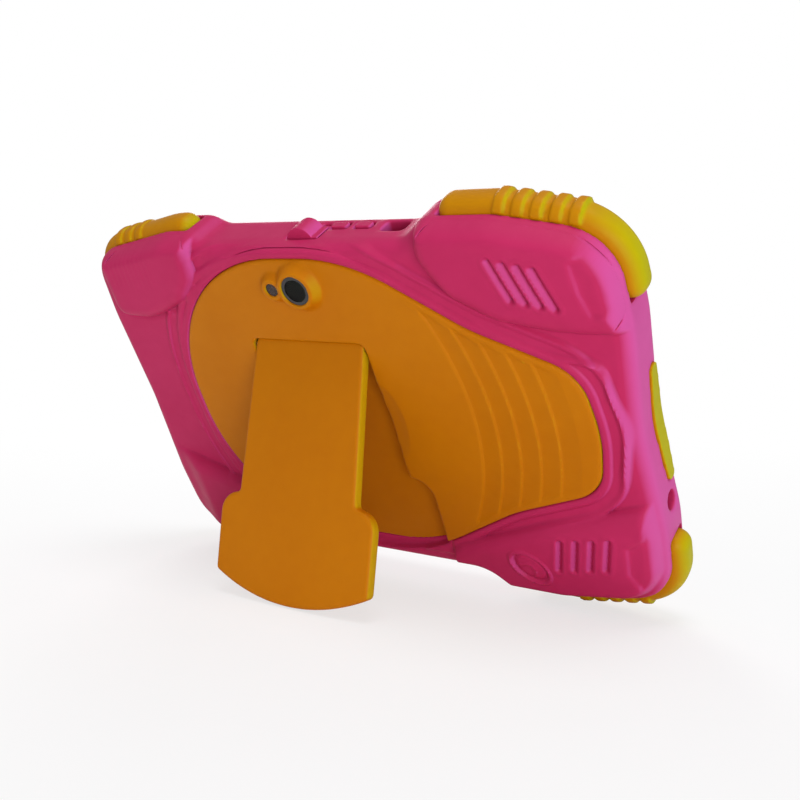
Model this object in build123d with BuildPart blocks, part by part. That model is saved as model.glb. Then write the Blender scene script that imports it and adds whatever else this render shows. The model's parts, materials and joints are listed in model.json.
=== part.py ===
from build123d import *
from math import asin, atan2, cos, hypot, pi, radians, sin, tan
import os

os.makedirs("parts", exist_ok=True)

# Seven-inch children's tablet in a soft bumper case with a fold-out stand.
# Sizes are in millimetres. The case frame has x to the right as seen from
# the back, y up the case and z out of the back, with z = 0 at the front rim.

# ---------------------------------------------------------------- tablet
tablet_length = 188.0
tablet_width = 108.0
tablet_thickness = 9.8
tablet_corner = 9.0
cover_wall = 1.4
cover_floor = 1.3
cover_edge_round = 2.0
glass_thickness = 1.0
glass_gap = 0.15
screen_frame_thickness = 2.4
screen_frame_floor = 0.5
panel_length = 162.0
panel_width = 95.0
panel_thickness = 1.0
panel_gap = 0.4
board_thickness = 0.8
board_boss_height = 1.3
battery_length = 100.0
battery_width = 68.0
battery_thickness = 3.2

# ---------------------------------------------------------------- case
tablet_gap = 0.3
tablet_back_gap = 0.2
front_lip = 2.0
front_lip_cover = 3.0
front_edge_round = 4.0
back_wall = 2.0
case_centre = -1.75
waist_half_height = 63.75
waist_half_length = 34.5
lobe_half_height = 70.3
lobe_start = 42.0
lobe_crest_end = 64.0
corner_half_length = 98.0
corner_half_height = 64.3
side_half_length = 99.6
left_waist_end = 42.0
left_lobe_start = 48.0
left_lobe_half_height = 67.0
left_crest_end = 58.5
left_corner_half_length = 96.5
left_corner_half_height = 59.5
left_side_half_length = 98.4
left_corner_radius = 13.0
side_bend_height = 36.0
side_waist_half_length = 97.4
corner_radius = 18.0
waist_round = 9.0
lobe_start_round = 8.0
crest_round = 30.0
side_round = 60.0
lower_lobe_end = 24.0
valley_edge_round = 5.0
lobe_rise = 4.7
upper_lobe_inset = 0.5
left_lobe_side_inset = 8.0
lower_lobe_inset = 3.2
lobe_round = 5.0
plateau_rise = 0.9
plateau_reach = 8.0
plateau_edge = 7.0
lip_rise = 1.9
lip_width = 3.2
lip_end_gap = 3.0

# ---------------------------------------------------------------- bumpers
bumper_proud = 4.0
left_bumper_proud = 3.0
lower_bumper_drop = 2.0
bumper_embed = 2.5
bumper_front = 3.5
bumper_height = 10.5
bumper_round = 4.4
bumper_start = 45.5
left_bumper_start = 50.4
bumper_side_end = 42.5
bumper_end_round = 4.8
bumper_rib_count = 5
bumper_rib_proud = 0.8
bumper_rib_width = 3.0
bumper_rib_pitch = 5.4
bumper_rib_first = 65.5
left_rib_first = 74.5
left_rib_count = 3
strip_middle = -2.8
strip_half_length = 20.6
strip_half_height = 3.1
strip_end_half_height = 2.1
strip_middle_depth = 5.2
strip_proud = 0.6
strip_embed = 1.6

# ---------------------------------------------------------------- back plate
plate_thickness = 7.5
plate_proud = 2.0
plate_gap = 0.1
plate_edge_round = 1.2
pear_centre = -5.4
pear_half_length = 62.0
pear_half_height = 58.0
pear_nose = 86.6
pear_gap = 3.0
wave_count = 5
wave_first = 46.7
wave_pitch = 6.7
wave_width = 3.2
wave_height = 0.6
wave_radius = 92.0
wave_inset = 3.0

# ---------------------------------------------------------------- stand
stand_thickness = 4.5
stand_centre = -9.6
hinge_height = 25.0
stand_neck_top = 43.5
stand_neck_bottom = 47.5
stand_neck_length = 50.5
stand_foot_width = 62.6
stand_foot_start = 52.5
stand_foot_side = 78.0
stand_length = 86.0
stand_shoulder_round = 7.0
stand_inner_round = 1.6
stand_corner_round = 1.8
stand_edge_round = 1.2
stand_open_angle = 37.2
stand_side_gap = 0.8
stand_floor_gap = 0.3
heel_gap = 0.05
pin_radius = 1.0
pin_running_gap = 0.05
pin_hold = 4.0
pin_seat_gap = 0.02
scoop_reach = 7.2
scoop_depth = 1.0
scoop_half_length = 16.0
scoop_height = -2.5

# ---------------------------------------------------------------- camera
lens_x = -4.3
lens_y = 48.6
lens_ring_radius = 5.0
lens_bezel_base = 8.6
lens_bezel_top = 6.3
lens_bezel_height = 3.4
lens_window_radius = 3.9
lens_window_thickness = 0.8
lens_bore_radius = 3.2
flash_x = -14.1
flash_y = 48.4
flash_radius = 2.3
flash_bezel_base = 5.4
flash_bezel_top = 3.6
flash_bezel_height = 2.6
optic_gap = 0.1
lens_ring_sink = 0.6
lens_window_sink = 0.2
camera_size = 6.4
camera_base_height = 2.2
camera_barrel_height = 3.0
front_camera_x = 20.0
front_camera_y = 50.2
front_camera_size = 3.4

# ---------------------------------------------------------------- buttons
key_depth = 7.0
key_thickness = 2.4
key_travel = 0.4
key_gap = 0.3
key_stop_gap = 0.3
key_proud = 0.5
key_flange = 0.6
switch_width = 3.6
switch_height = 2.5
switch_length = 3.6
switch_plunger = 0.6
power_stem_depth = 3.6
power_dome_middle = 10.6
power_x = -4.4
power_key_x = 0.9
power_key_length = 2.6
power_foot_edge = 0.2
power_dome_half_width = 5.0
power_dome_height = 3.2
power_dome_depth = 7.6
power_well = 1.6
volume_up_x = 6.6
volume_down_x = 15.4
volume_pad_length = 6.0
volume_pad_depth = 3.6
volume_pad_proud = 0.4
volume_key_length = 4.6

# ---------------------------------------------------------------- ports
usb_x = 27.0
usb_cutout_length = 8.6
usb_cutout_depth = 5.8
usb_length = 7.6
usb_thickness = 2.7
usb_body_depth = 5.6
jack_y = -31.5
jack_bore_radius = 1.8
jack_bore_length = 12.0
jack_block_width = 6.0
jack_block_thickness = 4.8
jack_nose_radius = 2.3
jack_cutout_radius = 3.2
jack_wall = 1.2
jack_notch = 8.0
usb_wall = 0.35
card_y = 24.0
card_width = 13.0
card_length = 14.0
card_thickness = 1.9
card_wall = 0.3

# ---------------------------------------------------------------- inside
board_left = -22.0
board_inner = 46.0
board_right = 84.0
board_top = 51.4
board_arm_bottom = 33.0
board_bottom = -34.0
board_screw_places = [(-18.5, 38.0), (42.0, 47.5), (80.0, 46.5), (50.0, -30.0), (77.0, -31.0)]
screw_radius = 0.8
screw_length = 1.9
screw_head_radius = 1.5
screw_head_height = 0.9
boss_radius = 2.2
cover_post_x = 88.0
cover_post_y = 47.5
cover_post_radius = 2.4
shield_height = 2.0
shield_corner = 1.0
processor_x = 62.0
processor_y = 2.0
processor_length = 26.0
processor_width = 22.0
radio_x = 58.0
radio_y = 34.0
radio_length = 15.0
radio_width = 12.0
battery_x = -16.0
battery_y = -5.0
battery_corner = 2.0
lead_x = 12.0
lead_pitch = 1.6
lead_count = 3
lead_radius = 0.5
ribbon_x = 58.0
ribbon_y = -16.0
ribbon_width = 12.0
ribbon_thickness = 0.3
speaker_places = [-50.0, 28.0]
speaker_y = -46.5
speaker_length = 26.0
speaker_width = 10.0
speaker_height = 4.0
speaker_corner = 2.0
sound_hole_radius = 0.6
sound_hole_pitch = 2.4
microphone_x = 50.0
microphone_y = 46.0
microphone_length = 3.5
microphone_width = 2.6
microphone_height = 1.0
antenna_y = 40.0
antenna_length = 9.0
antenna_width = 3.4

# ---------------------------------------------------------------- relief
groove_count = 4
groove_depth = 1.2
groove_width = 1.8
groove_length = 12.0
upper_groove_first = 64.5
upper_groove_y = 58.7
upper_groove_pitch = 4.3
upper_groove_drop = 0.8
upper_groove_lean = 4.8
lower_groove_first = 67.0
lower_groove_y = -41.7
lower_groove_pitch = 5.5
lower_groove_rise = 1.1
lower_groove_lean = 2.4
badge_x = 54.3
badge_y = -54.8
badge_turn = -40.0
badge_half_length = 8.0
badge_half_width = 5.8
badge_line = 0.9
badge_rise = 0.5
dent_x = 93.0
dent_y = 50.0
dent_radius = 12.0
dent_depth = 1.3

# ------------------------------------------------------ depths in the case
glass_front = front_lip
glass_back = glass_front + glass_thickness
frame_back = glass_back + screen_frame_thickness
cover_back = glass_front + tablet_thickness
cover_inside = cover_back - cover_floor
board_back = cover_inside - board_boss_height
board_front = board_back - board_thickness
case_floor = cover_back + tablet_back_gap
recess_floor = case_floor + back_wall
plate_face = recess_floor + plate_thickness
valley = plate_face - plate_proud
lobe_top = valley + lobe_rise
bumper_back = bumper_front + bumper_height
hinge_depth = plate_face - stand_thickness / 2
stand_floor = hinge_depth - stand_thickness / 2 - stand_floor_gap
key_places = [power_key_x, volume_up_x, volume_down_x]
waist_top = waist_half_height + case_centre
board_middle = (board_front + board_back) / 2
pad_depth = key_depth - (volume_pad_depth - key_thickness) / 2
power_foot_left = power_x - power_dome_half_width
power_foot_right = power_key_x + power_key_length / 2 + power_foot_edge
power_foot_x = (power_foot_left + power_foot_right) / 2
power_foot_length = power_foot_right - power_foot_left
scoop_radius = (scoop_reach**2 + scoop_depth**2) / (2 * scoop_depth)
scoop_lift = scoop_radius - scoop_depth
usb_depth = board_front - usb_thickness / 2
jack_depth = cover_inside - jack_block_thickness / 2
card_depth = board_front - card_thickness / 2
pin_half_length = stand_neck_top / 2 + stand_side_gap + pin_hold
pocket_length = tablet_length + 2 * tablet_gap
pocket_width = tablet_width + 2 * tablet_gap
window_length = tablet_length - 2 * front_lip_cover
window_width = tablet_width - 2 * front_lip_cover
inner_half_length = tablet_length / 2 - cover_wall
inner_half_width = tablet_width / 2 - cover_wall
glass_length = 2 * (inner_half_length - glass_gap)
glass_width = 2 * (inner_half_width - glass_gap)

# --------------------------------------------------- how the case leans
# The case stands on the first ribs of its lower bumpers and on the inner
# edge of the stand's foot. The floor touches both rounds at once.
open_angle = radians(stand_open_angle)
rib_round = bumper_round + bumper_rib_proud
corner_slope = atan2(lobe_half_height - corner_half_height, corner_half_length - lobe_crest_end)
left_corner_slope = atan2(left_lobe_half_height - left_corner_half_height, left_corner_half_length - left_crest_end)
first_rib_drop = (bumper_rib_first - lobe_crest_end) * tan(corner_slope)
rest_y = case_centre + bumper_round + first_rib_drop - lobe_half_height - bumper_proud - lower_bumper_drop
rest_z = bumper_back - bumper_round
foot_reach = stand_length - stand_edge_round
foot_inset = stand_thickness / 2 - stand_edge_round
foot_y = hinge_height - foot_reach * cos(open_angle) - foot_inset * sin(open_angle)
foot_z = hinge_depth + foot_reach * sin(open_angle) - foot_inset * cos(open_angle)
span_y = rest_y - foot_y
span_z = foot_z - rest_z
lean = atan2(-span_y, span_z) + asin((rib_round - stand_edge_round) / hypot(span_y, span_z))

up_dir = Vector(0, -sin(lean), cos(lean))
out_dir = Vector(0, -cos(lean), -sin(lean))
right_dir = Vector(1, 0, 0)


def reach_back(y, z, round_radius):
    return y * sin(lean) + z * cos(lean) + round_radius


# The origin lies on the floor in the middle of the object's outer box.
lobe_crest = lobe_half_height - upper_lobe_inset
back_reach = reach_back(case_centre + lobe_crest - lobe_round, lobe_top - lobe_round, lobe_round)
front_reach = reach_back(case_centre + front_edge_round - lobe_half_height, front_edge_round, -front_edge_round)
floor_drop = rest_y * cos(lean) - rest_z * sin(lean) - rib_round
case_origin = Vector(0, (back_reach + front_reach) / 2, -floor_drop)


def case_point(x, y, z):
    return case_origin + right_dir * x + up_dir * y + out_dir * z


def back_at(z, x=0.0, y=0.0):
    """Plane facing out of the back, at depth z."""
    return Plane(origin=case_point(x, y, z), x_dir=right_dir, z_dir=out_dir)


def side_at(x, y=0.0, z=0.0):
    """Plane facing right: its x runs up the case and its y out of the back."""
    return Plane(origin=case_point(x, y, z), x_dir=up_dir, z_dir=right_dir)


def top_at(y, x=0.0, z=0.0):
    """Plane facing up the case: its x runs right and its y to the front."""
    return Plane(origin=case_point(x, y, z), x_dir=right_dir, z_dir=up_dir)


stand_origin = case_point(stand_centre, hinge_height, hinge_depth)
stand_out = up_dir * sin(open_angle) + out_dir * cos(open_angle)


def stand_at(z):
    """Plane of the open stand: x to the right, y up the stand from its pin."""
    return Plane(origin=stand_origin + stand_out * z, x_dir=right_dir, z_dir=stand_out)


def write(piece, name):
    piece.part.label = name
    export_step(piece.part, "parts/" + name + ".step")


# ------------------------------------------------------------- outlines
def quarter(side):
    """Corner points of the case's upper right quarter, or of its upper left one mirrored to the right."""
    if side > 0:
        return [
            (waist_half_length, waist_half_height),
            (lobe_start, lobe_half_height),
            (lobe_crest_end, lobe_half_height),
            (corner_half_length, corner_half_height),
            (side_half_length, side_bend_height),
        ]
    return [
        (left_waist_end, waist_half_height),
        (left_lobe_start, left_lobe_half_height),
        (left_crest_end, left_lobe_half_height),
        (left_corner_half_length, left_corner_half_height),
        (left_side_half_length, side_bend_height),
    ]


def case_face(grow=0.0):
    """Outline of the soft case: a waist at the middle and a lobe per corner."""
    upper_right = quarter(1)
    lower_right = [(x, -y) for x, y in reversed(upper_right)]
    lower_left = [(-x, -y) for x, y in upper_right]
    upper_left = [(-x, y) for x, y in reversed(quarter(-1))]
    right = [*upper_right, (side_waist_half_length, 0.0), *lower_right]
    left = [*lower_left, (-side_waist_half_length, 0.0), *upper_left]
    rounds = [waist_round, lobe_start_round, crest_round, corner_radius, side_round]
    left_rounds = [waist_round, lobe_start_round, crest_round, left_corner_radius, side_round]
    with BuildSketch() as outline:
        with BuildLine():
            FilletPolyline(
                *right,
                *left,
                radius=[*rounds, side_round, *rounds[::-1], *rounds, side_round, *left_rounds[::-1]],
                close=True,
            )
        make_face()
        if grow:
            offset(amount=grow)
    return outline.sketch


def pear_face(grow=0.0):
    """Pear outline of the back plate: a wide round end and a narrow nose."""
    end = pear_centre - pear_half_length
    upper = [(end, pear_half_height), (14.5, pear_half_height), (51.6, 34.6), (83.6, 21.4)]
    lower = [(x, -y) for x, y in reversed(upper)]
    rounds = [pear_half_height - pear_gap, 60.0, 60.0, 16.0]
    with BuildSketch() as pear:
        with BuildLine():
            FilletPolyline(*upper, (pear_nose, 0.0), *lower, radius=[*rounds, 50.0, *rounds[::-1]], close=True)
        make_face()
        if grow:
            offset(amount=grow)
    return pear.sketch


def stand_face(grow=0.0):
    """Outline of the stand from the pin down: a neck, two shoulders and an arched foot."""
    half_top = stand_neck_top / 2
    half_bottom = stand_neck_bottom / 2
    half_foot = stand_foot_width / 2
    head = stand_thickness / 2
    right = [
        (half_top, head),
        (half_bottom, -stand_neck_length),
        (half_foot, -stand_foot_start),
        (half_foot, -stand_foot_side),
    ]
    left = [(-x, y) for x, y in reversed(right)]
    with BuildSketch() as outline:
        with BuildLine():
            FilletPolyline(*left, *right, radius=[stand_shoulder_round, stand_inner_round, stand_corner_round,
                stand_corner_round, stand_inner_round, stand_shoulder_round])
            ThreePointArc(right[-1], (0, -stand_length), left[0])
        make_face()
        fillet(outline.vertices().group_by(Axis.X)[0].sort_by(Axis.Y)[0], radius=stand_corner_round)
        fillet(outline.vertices().group_by(Axis.X)[-1].sort_by(Axis.Y)[0], radius=stand_corner_round)
        if grow:
            offset(amount=grow)
    return outline.sketch


far = 2 * corner_half_length
side_slope = (side_half_length - side_waist_half_length) / side_bend_height
lower_lobe_x = side_waist_half_length - lower_lobe_inset + side_slope * lower_lobe_end


def lobe_corner(inset):
    """Outer points of a lobe's plan, from its crest round the corner to its side."""
    return [
        (lobe_crest_end, lobe_half_height - inset),
        (corner_half_length - inset, corner_half_height - inset),
        (side_half_length - inset, side_bend_height),
    ]


def upper_left_lobe_face():
    """Plan of the upper left lobe, mirrored to the right: a short stub with a level lower border."""
    crest = left_lobe_half_height - upper_lobe_inset
    stub_end = left_side_half_length - left_lobe_side_inset
    corner_drop = (stub_end - left_crest_end) * tan(left_corner_slope)
    border = [(stub_end, 37.0), (72.0, 36.5), (54.0, 44.5), (46.5, 54.0)]
    with BuildSketch() as lobe:
        with BuildLine():
            FilletPolyline(
                (left_lobe_start - upper_lobe_inset, crest),
                (left_crest_end, crest),
                (stub_end, crest - corner_drop),
                *border,
                radius=[5.4, crest_round, 12.0, 7.0, 22.0, 10.0, 8.0],
                close=True,
            )
        make_face()
    return lobe.sketch


def upper_right_lobe_face():
    """Plan of the upper right lobe: it stands clear of the waist with a rounded step."""
    start = [(lobe_start - 0.5, lobe_crest)]
    corner = lobe_corner(upper_lobe_inset)
    corner_rounds = [crest_round, corner_radius - upper_lobe_inset]
    border = [(60.5, 42.0), (42.5, 56.5)]
    with BuildSketch() as lobe:
        with BuildLine():
            FilletPolyline(
                *start, *corner, *border, radius=[6.0, *corner_rounds, 6.5, 22.0, 10.0], close=True
            )
        make_face()
    return lobe.sketch


def lower_lobe_face():
    """Plan of a lower lobe, mirrored upwards: it runs out along the waist."""
    waist_crest = waist_half_height - lower_lobe_inset
    step_end = (lobe_start, lobe_half_height - lower_lobe_inset)
    start = [(20.0, waist_crest), (waist_half_length, waist_crest), step_end]
    corner = lobe_corner(lower_lobe_inset)
    corner_rounds = [crest_round, corner_radius - lower_lobe_inset, side_round]
    end = (lower_lobe_x, lower_lobe_end)
    border = [(62.0, 35.5), (28.0, 49.5)]
    start_rounds = [5.3, waist_round, lobe_start_round]
    with BuildSketch() as lobe:
        with BuildLine():
            FilletPolyline(
                *start,
                *corner,
                end,
                *border,
                radius=[*start_rounds, *corner_rounds, 5.8, 22.0, 11.0],
                close=True,
            )
        make_face()
    return lobe.sketch


# ------------------------------------------------------ corner bumpers
def bumper_band(side, proud, drop=0.0):
    """Band round an upper corner, right (1) or left (-1), from its embedded edge outwards."""
    start = bumper_start if side > 0 else left_bumper_start
    with BuildSketch() as band:
        with Locations((0, drop)):
            add(case_face(proud))
        add(case_face(-bumper_embed), mode=Mode.SUBTRACT)
        with Locations((side * (start + far / 2), bumper_side_end + far / 2)):
            Rectangle(far, far, mode=Mode.INTERSECT)
        inner_side = band.vertices().group_by(Axis.X)[0 if side > 0 else -1]
        top_end = inner_side.sort_by(Axis.Y)[-1]
        lower_side = band.vertices().group_by(Axis.Y)[0]
        side_end = lower_side.sort_by(Axis.X)[-1 if side > 0 else 0]
        fillet([top_end, side_end], radius=bumper_end_round)
    return band.sketch


def rib_plane(side, x, drop):
    """Plane across the band at one rib's middle, its x outwards and its y to the back."""
    crest_end, corner = quarter(side)[2:4]
    slope = atan2(crest_end[1] - corner[1], corner[0] - crest_end[0])
    y = crest_end[1] - (x - crest_end[0]) * tan(slope) + drop
    along = right_dir * cos(slope) - up_dir * side * sin(slope)
    outwards = up_dir * cos(slope) + right_dir * side * sin(slope)
    return Plane(origin=case_point(side * x, y + case_centre, 0), x_dir=outwards, z_dir=along)


def rib_section(proud):
    """Section of a rib: the band's own section grown on three sides."""
    rib_tall = bumper_height + 2 * bumper_rib_proud
    with BuildSketch() as section:
        with Locations((proud + bumper_rib_proud, bumper_front + bumper_height / 2)):
            Rectangle(2 * rib_round, rib_tall, align=(Align.MAX, Align.CENTER))
        fillet(section.vertices().group_by(Axis.X)[-1], radius=rib_round)
        with Locations((tablet_gap / 2, bumper_front + bumper_height / 2)):
            Rectangle(4 * rib_round, 2 * rib_tall, align=(Align.MAX, Align.CENTER), mode=Mode.SUBTRACT)
    return section.sketch


def beyond(face, edge):
    """True where the middle of an edge lies outside a face, seen from the back."""
    middle = back_at(0, 0, case_centre).to_local_coords(edge @ 0.5)
    return face.distance_to(Vector(middle.X, middle.Y, 0)) > bumper_embed / 10


def corner_bumper(side, proud, rib_first, rib_count, drop=0.0):
    """Ribbed bumper round an upper corner, with its round edges outside the case."""
    with BuildPart() as bumper:
        with BuildSketch(back_at(bumper_front, 0, case_centre)):
            add(bumper_band(side, proud, drop))
        extrude(amount=bumper_height)
        band_faces = bumper.faces().sort_by(Axis(case_origin, out_dir))
        band_rims = band_faces[0].edges() + band_faces[-1].edges()
        band_seat = case_face(-bumper_embed)
        fillet([edge for edge in band_rims if beyond(band_seat, edge)], radius=bumper_round)
        for index in range(rib_count):
            rib_x = rib_first + index * bumper_rib_pitch
            with BuildSketch(rib_plane(side, rib_x, drop)):
                add(rib_section(proud))
            extrude(amount=bumper_rib_width / 2, both=True)
    return bumper


corner_bumper_tr = corner_bumper(1, bumper_proud, bumper_rib_first, bumper_rib_count)
corner_bumper_tl = corner_bumper(-1, left_bumper_proud, left_rib_first, left_rib_count)
deep_bumper = corner_bumper(1, bumper_proud, bumper_rib_first, bumper_rib_count, lower_bumper_drop)

with BuildPart() as corner_bumper_br:
    add(deep_bumper.part)
    mirror(about=top_at(case_centre), mode=Mode.REPLACE)

with BuildPart() as corner_bumper_bl:
    add(corner_bumper_br.part)
    mirror(about=side_at(0), mode=Mode.REPLACE)


# ------------------------------------------------------ side strips
def strip_face():
    """Long lens outline in the side view."""
    tip = strip_half_length
    low = strip_middle_depth - strip_end_half_height
    high = strip_middle_depth + strip_end_half_height
    with BuildSketch() as outline:
        with BuildLine():
            ThreePointArc((-tip, high), (0, strip_middle_depth + strip_half_height), (tip, high))
            Line((tip, high), (tip, low))
            ThreePointArc((tip, low), (0, strip_middle_depth - strip_half_height), (-tip, low))
            Line((-tip, low), (-tip, high))
        make_face()
        fillet(outline.vertices(), radius=0.9 * strip_end_half_height)
    return outline.sketch


with BuildPart() as strip_band:
    with BuildSketch(back_at(0, 0, case_centre)):
        add(case_face(strip_proud))
        add(case_face(-strip_embed), mode=Mode.SUBTRACT)
    extrude(amount=bumper_back)


def side_strip(side):
    """Strip let into the case's right side (1) or left side (-1), which it follows."""
    with BuildPart() as strip:
        with BuildSketch(side_at(side * tablet_length / 2, case_centre + strip_middle)):
            add(strip_face())
        extrude(amount=side * side_half_length)
        add(strip_band.part, mode=Mode.INTERSECT)
    return strip


side_strip_right = side_strip(1)
side_strip_left = side_strip(-1)


# ------------------------------------------------------ soft case
def lobe(lobe_plan):
    """Lobe with a round back edge over its plan, right of the case's middle."""
    lobe_start_depth = bumper_back - bumper_round
    with BuildPart() as block:
        with BuildSketch(back_at(lobe_start_depth, 0, case_centre)):
            add(lobe_plan)
        extrude(amount=lobe_top - lobe_start_depth)
        fillet(block.faces().sort_by(Axis(case_origin, out_dir))[-1].edges(), radius=lobe_round)
    return block


def slot_at(x_top, y_top, x_bottom, y_bottom, width):
    """Round-ended slot between two points."""
    length = hypot(x_top - x_bottom, y_top - y_bottom)
    angle = atan2(y_top - y_bottom, x_top - x_bottom) * 180 / pi
    with BuildSketch() as slot:
        with Locations(Location(((x_top + x_bottom) / 2, (y_top + y_bottom) / 2, 0), (0, 0, angle))):
            SlotCenterToCenter(length, width)
    return slot.sketch


def plateau_face():
    """Raised field round the pear, drawn out to a blunt point beyond its nose."""
    with BuildSketch() as field:
        add(pear_face(plateau_reach))
        with BuildLine():
            Polyline((69.0, 32.5), (93.6, 21.6), (96.2, 3.0), (90.8, -19.5), (69.0, -31.0), close=True)
        make_face()
        with Locations((0, case_centre)):
            add(case_face(-plateau_edge), mode=Mode.INTERSECT)
    return field.sketch


upper_right_lobe = lobe(upper_right_lobe_face())
upper_left_lobe = lobe(upper_left_lobe_face())
lower_lobe = lobe(lower_lobe_face())

with BuildPart() as lobes:
    add(lower_lobe.part)
    mirror(about=top_at(case_centre), mode=Mode.REPLACE)
    mirror(about=side_at(0))
    add(upper_right_lobe.part)
    mirror(upper_left_lobe.part, about=side_at(0))

with BuildPart() as pear_lip:
    with BuildSketch(back_at(recess_floor)):
        add(pear_face(lip_width))
    extrude(amount=valley + lip_rise - recess_floor)
    lip_ends = pear_lip.faces().sort_by(Axis(case_origin, out_dir))
    fillet(lip_ends[-1].edges(), radius=lip_rise / 2)
    with BuildSketch(back_at(recess_floor, stand_centre, hinge_height)):
        add(stand_face(lip_end_gap))
    extrude(amount=2 * plate_thickness, mode=Mode.SUBTRACT)

with BuildPart() as corner_dents:
    with Locations(
        back_at(lobe_top + dent_radius - dent_depth, dent_x, dent_y).location,
        back_at(lobe_top + dent_radius - dent_depth, -dent_x, dent_y).location,
        back_at(lobe_top + dent_radius - dent_depth, dent_x, -dent_y).location,
        back_at(lobe_top + dent_radius - dent_depth, -dent_x, -dent_y).location,
    ):
        Sphere(dent_radius)

with BuildPart() as bumper_grooves:
    with BuildSketch(back_at(bumper_front, 0, case_centre)):
        add(bumper_band(1, bumper_proud, lower_bumper_drop))
    extrude(amount=bumper_height)
    mirror(about=top_at(case_centre), mode=Mode.REPLACE)
    mirror(about=side_at(0))
    for side, proud in ((1, bumper_proud), (-1, left_bumper_proud)):
        with BuildSketch(back_at(bumper_front, 0, case_centre)):
            add(bumper_band(side, proud))
        extrude(amount=bumper_height)

with BuildPart() as finger_scoop:
    scoop_wall = stand_centre + stand_neck_top / 2 + stand_side_gap
    with BuildSketch(back_at(plate_face + scoop_lift, scoop_wall, scoop_height)):
        with BuildLine():
            low_end = (scoop_lift, -scoop_half_length)
            high_end = (scoop_lift, scoop_half_length)
            Polyline(low_end, (0, -scoop_half_length), (0, scoop_half_length), high_end)
            ThreePointArc(high_end, (scoop_radius, 0), low_end)
        make_face()
    revolve(axis=Axis(case_point(scoop_wall, scoop_height, plate_face + scoop_lift), up_dir))

with BuildPart() as bumper_case:
    with BuildSketch(back_at(0, 0, case_centre)):
        add(case_face())
    extrude(amount=valley)
    case_ends = bumper_case.faces().sort_by(Axis(case_origin, out_dir))
    fillet(case_ends[0].edges(), radius=front_edge_round)
    case_ends = bumper_case.faces().sort_by(Axis(case_origin, out_dir))
    fillet(case_ends[-1].edges(), radius=valley_edge_round)
    add(lobes.part)
    with BuildSketch(back_at(recess_floor)):
        add(plateau_face())
    extrude(amount=valley + plateau_rise - recess_floor)
    add(pear_lip.part)
    add(corner_dents.part, mode=Mode.SUBTRACT)
    with BuildSketch(back_at(recess_floor)):
        add(pear_face(plate_gap))
    extrude(amount=plate_thickness, mode=Mode.SUBTRACT)
    with BuildSketch(back_at(stand_floor, stand_centre, hinge_height)):
        add(stand_face(stand_side_gap))
    extrude(amount=2 * plate_thickness, mode=Mode.SUBTRACT)
    with BuildSketch(back_at(front_lip)):
        RectangleRounded(pocket_length, pocket_width, tablet_corner + tablet_gap)
    extrude(amount=case_floor - front_lip, mode=Mode.SUBTRACT)
    with BuildSketch(back_at(0)):
        RectangleRounded(window_length, window_width, tablet_corner)
    extrude(amount=front_lip, mode=Mode.SUBTRACT)
    add(bumper_grooves.part, mode=Mode.SUBTRACT)
    add(side_strip_right.part, mode=Mode.SUBTRACT)
    add(side_strip_left.part, mode=Mode.SUBTRACT)
    with BuildSketch(back_at(case_floor)):
        with Locations((lens_x, lens_y)):
            Circle(lens_ring_radius + optic_gap)
        with Locations((flash_x, flash_y)):
            Circle(flash_radius)
    extrude(amount=back_wall, mode=Mode.SUBTRACT)
    with BuildSketch(top_at(pocket_width / 2)):
        with Locations((power_key_x, -key_depth)):
            Rectangle(power_key_length + 2 * key_gap, power_stem_depth + 2 * key_gap)
        with Locations((volume_up_x, -pad_depth), (volume_down_x, -pad_depth)):
            Rectangle(volume_pad_length + 2 * key_gap, volume_pad_depth + 2 * key_gap)
        with Locations((usb_x, -usb_depth)):
            RectangleRounded(usb_cutout_length, usb_cutout_depth, usb_thickness / 2)
    extrude(amount=lobe_half_height - pocket_width / 2, mode=Mode.SUBTRACT)
    with BuildSketch(top_at(waist_top - power_well)):
        with Locations((power_foot_x, -power_dome_middle)):
            Rectangle(power_foot_length + 2 * key_gap, power_dome_depth + 2 * key_gap)
    extrude(amount=2 * power_well, mode=Mode.SUBTRACT)
    with BuildSketch(side_at(pocket_length / 2)):
        with Locations((jack_y, jack_depth)):
            Circle(jack_cutout_radius)
    extrude(amount=side_half_length - pocket_length / 2, mode=Mode.SUBTRACT)
    with BuildSketch(back_at(lobe_top - groove_depth)):
        for index in range(groove_count):
            x = upper_groove_first + index * upper_groove_pitch
            y = upper_groove_y - index * upper_groove_drop
            add(slot_at(x, y, x + upper_groove_lean, y - groove_length, groove_width))
            x = lower_groove_first + index * lower_groove_pitch
            y = lower_groove_y + index * lower_groove_rise
            add(slot_at(x, y, x - lower_groove_lean, y - groove_length, groove_width))
    extrude(amount=2 * groove_depth, mode=Mode.SUBTRACT)
    with BuildSketch(back_at(lobe_top - badge_rise)):
        with Locations(Location((badge_x, badge_y, 0), (0, 0, badge_turn))):
            Ellipse(badge_half_length, badge_half_width)
            Ellipse(badge_half_length - badge_line, badge_half_width - badge_line, mode=Mode.SUBTRACT)
    extrude(amount=2 * badge_rise)


# ------------------------------------------------------ back plate
wave_centres = [wave_first + index * wave_pitch - wave_radius for index in range(wave_count)]


def wave_face(centre):
    """Curved rib across the narrow half of the pear, kept inside its outline."""
    with BuildSketch() as wave:
        with Locations((centre, 0)):
            Circle(wave_radius)
            Circle(wave_radius - wave_width, mode=Mode.SUBTRACT)
        add(pear_face(-wave_inset), mode=Mode.INTERSECT)
        with Locations((pear_nose / 2, 0)):
            Rectangle(pear_nose, 2 * pear_half_height, mode=Mode.INTERSECT)
    return wave.sketch


def bezel_taper(base, top, height):
    return atan2(base - top, height) * 180 / pi


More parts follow.
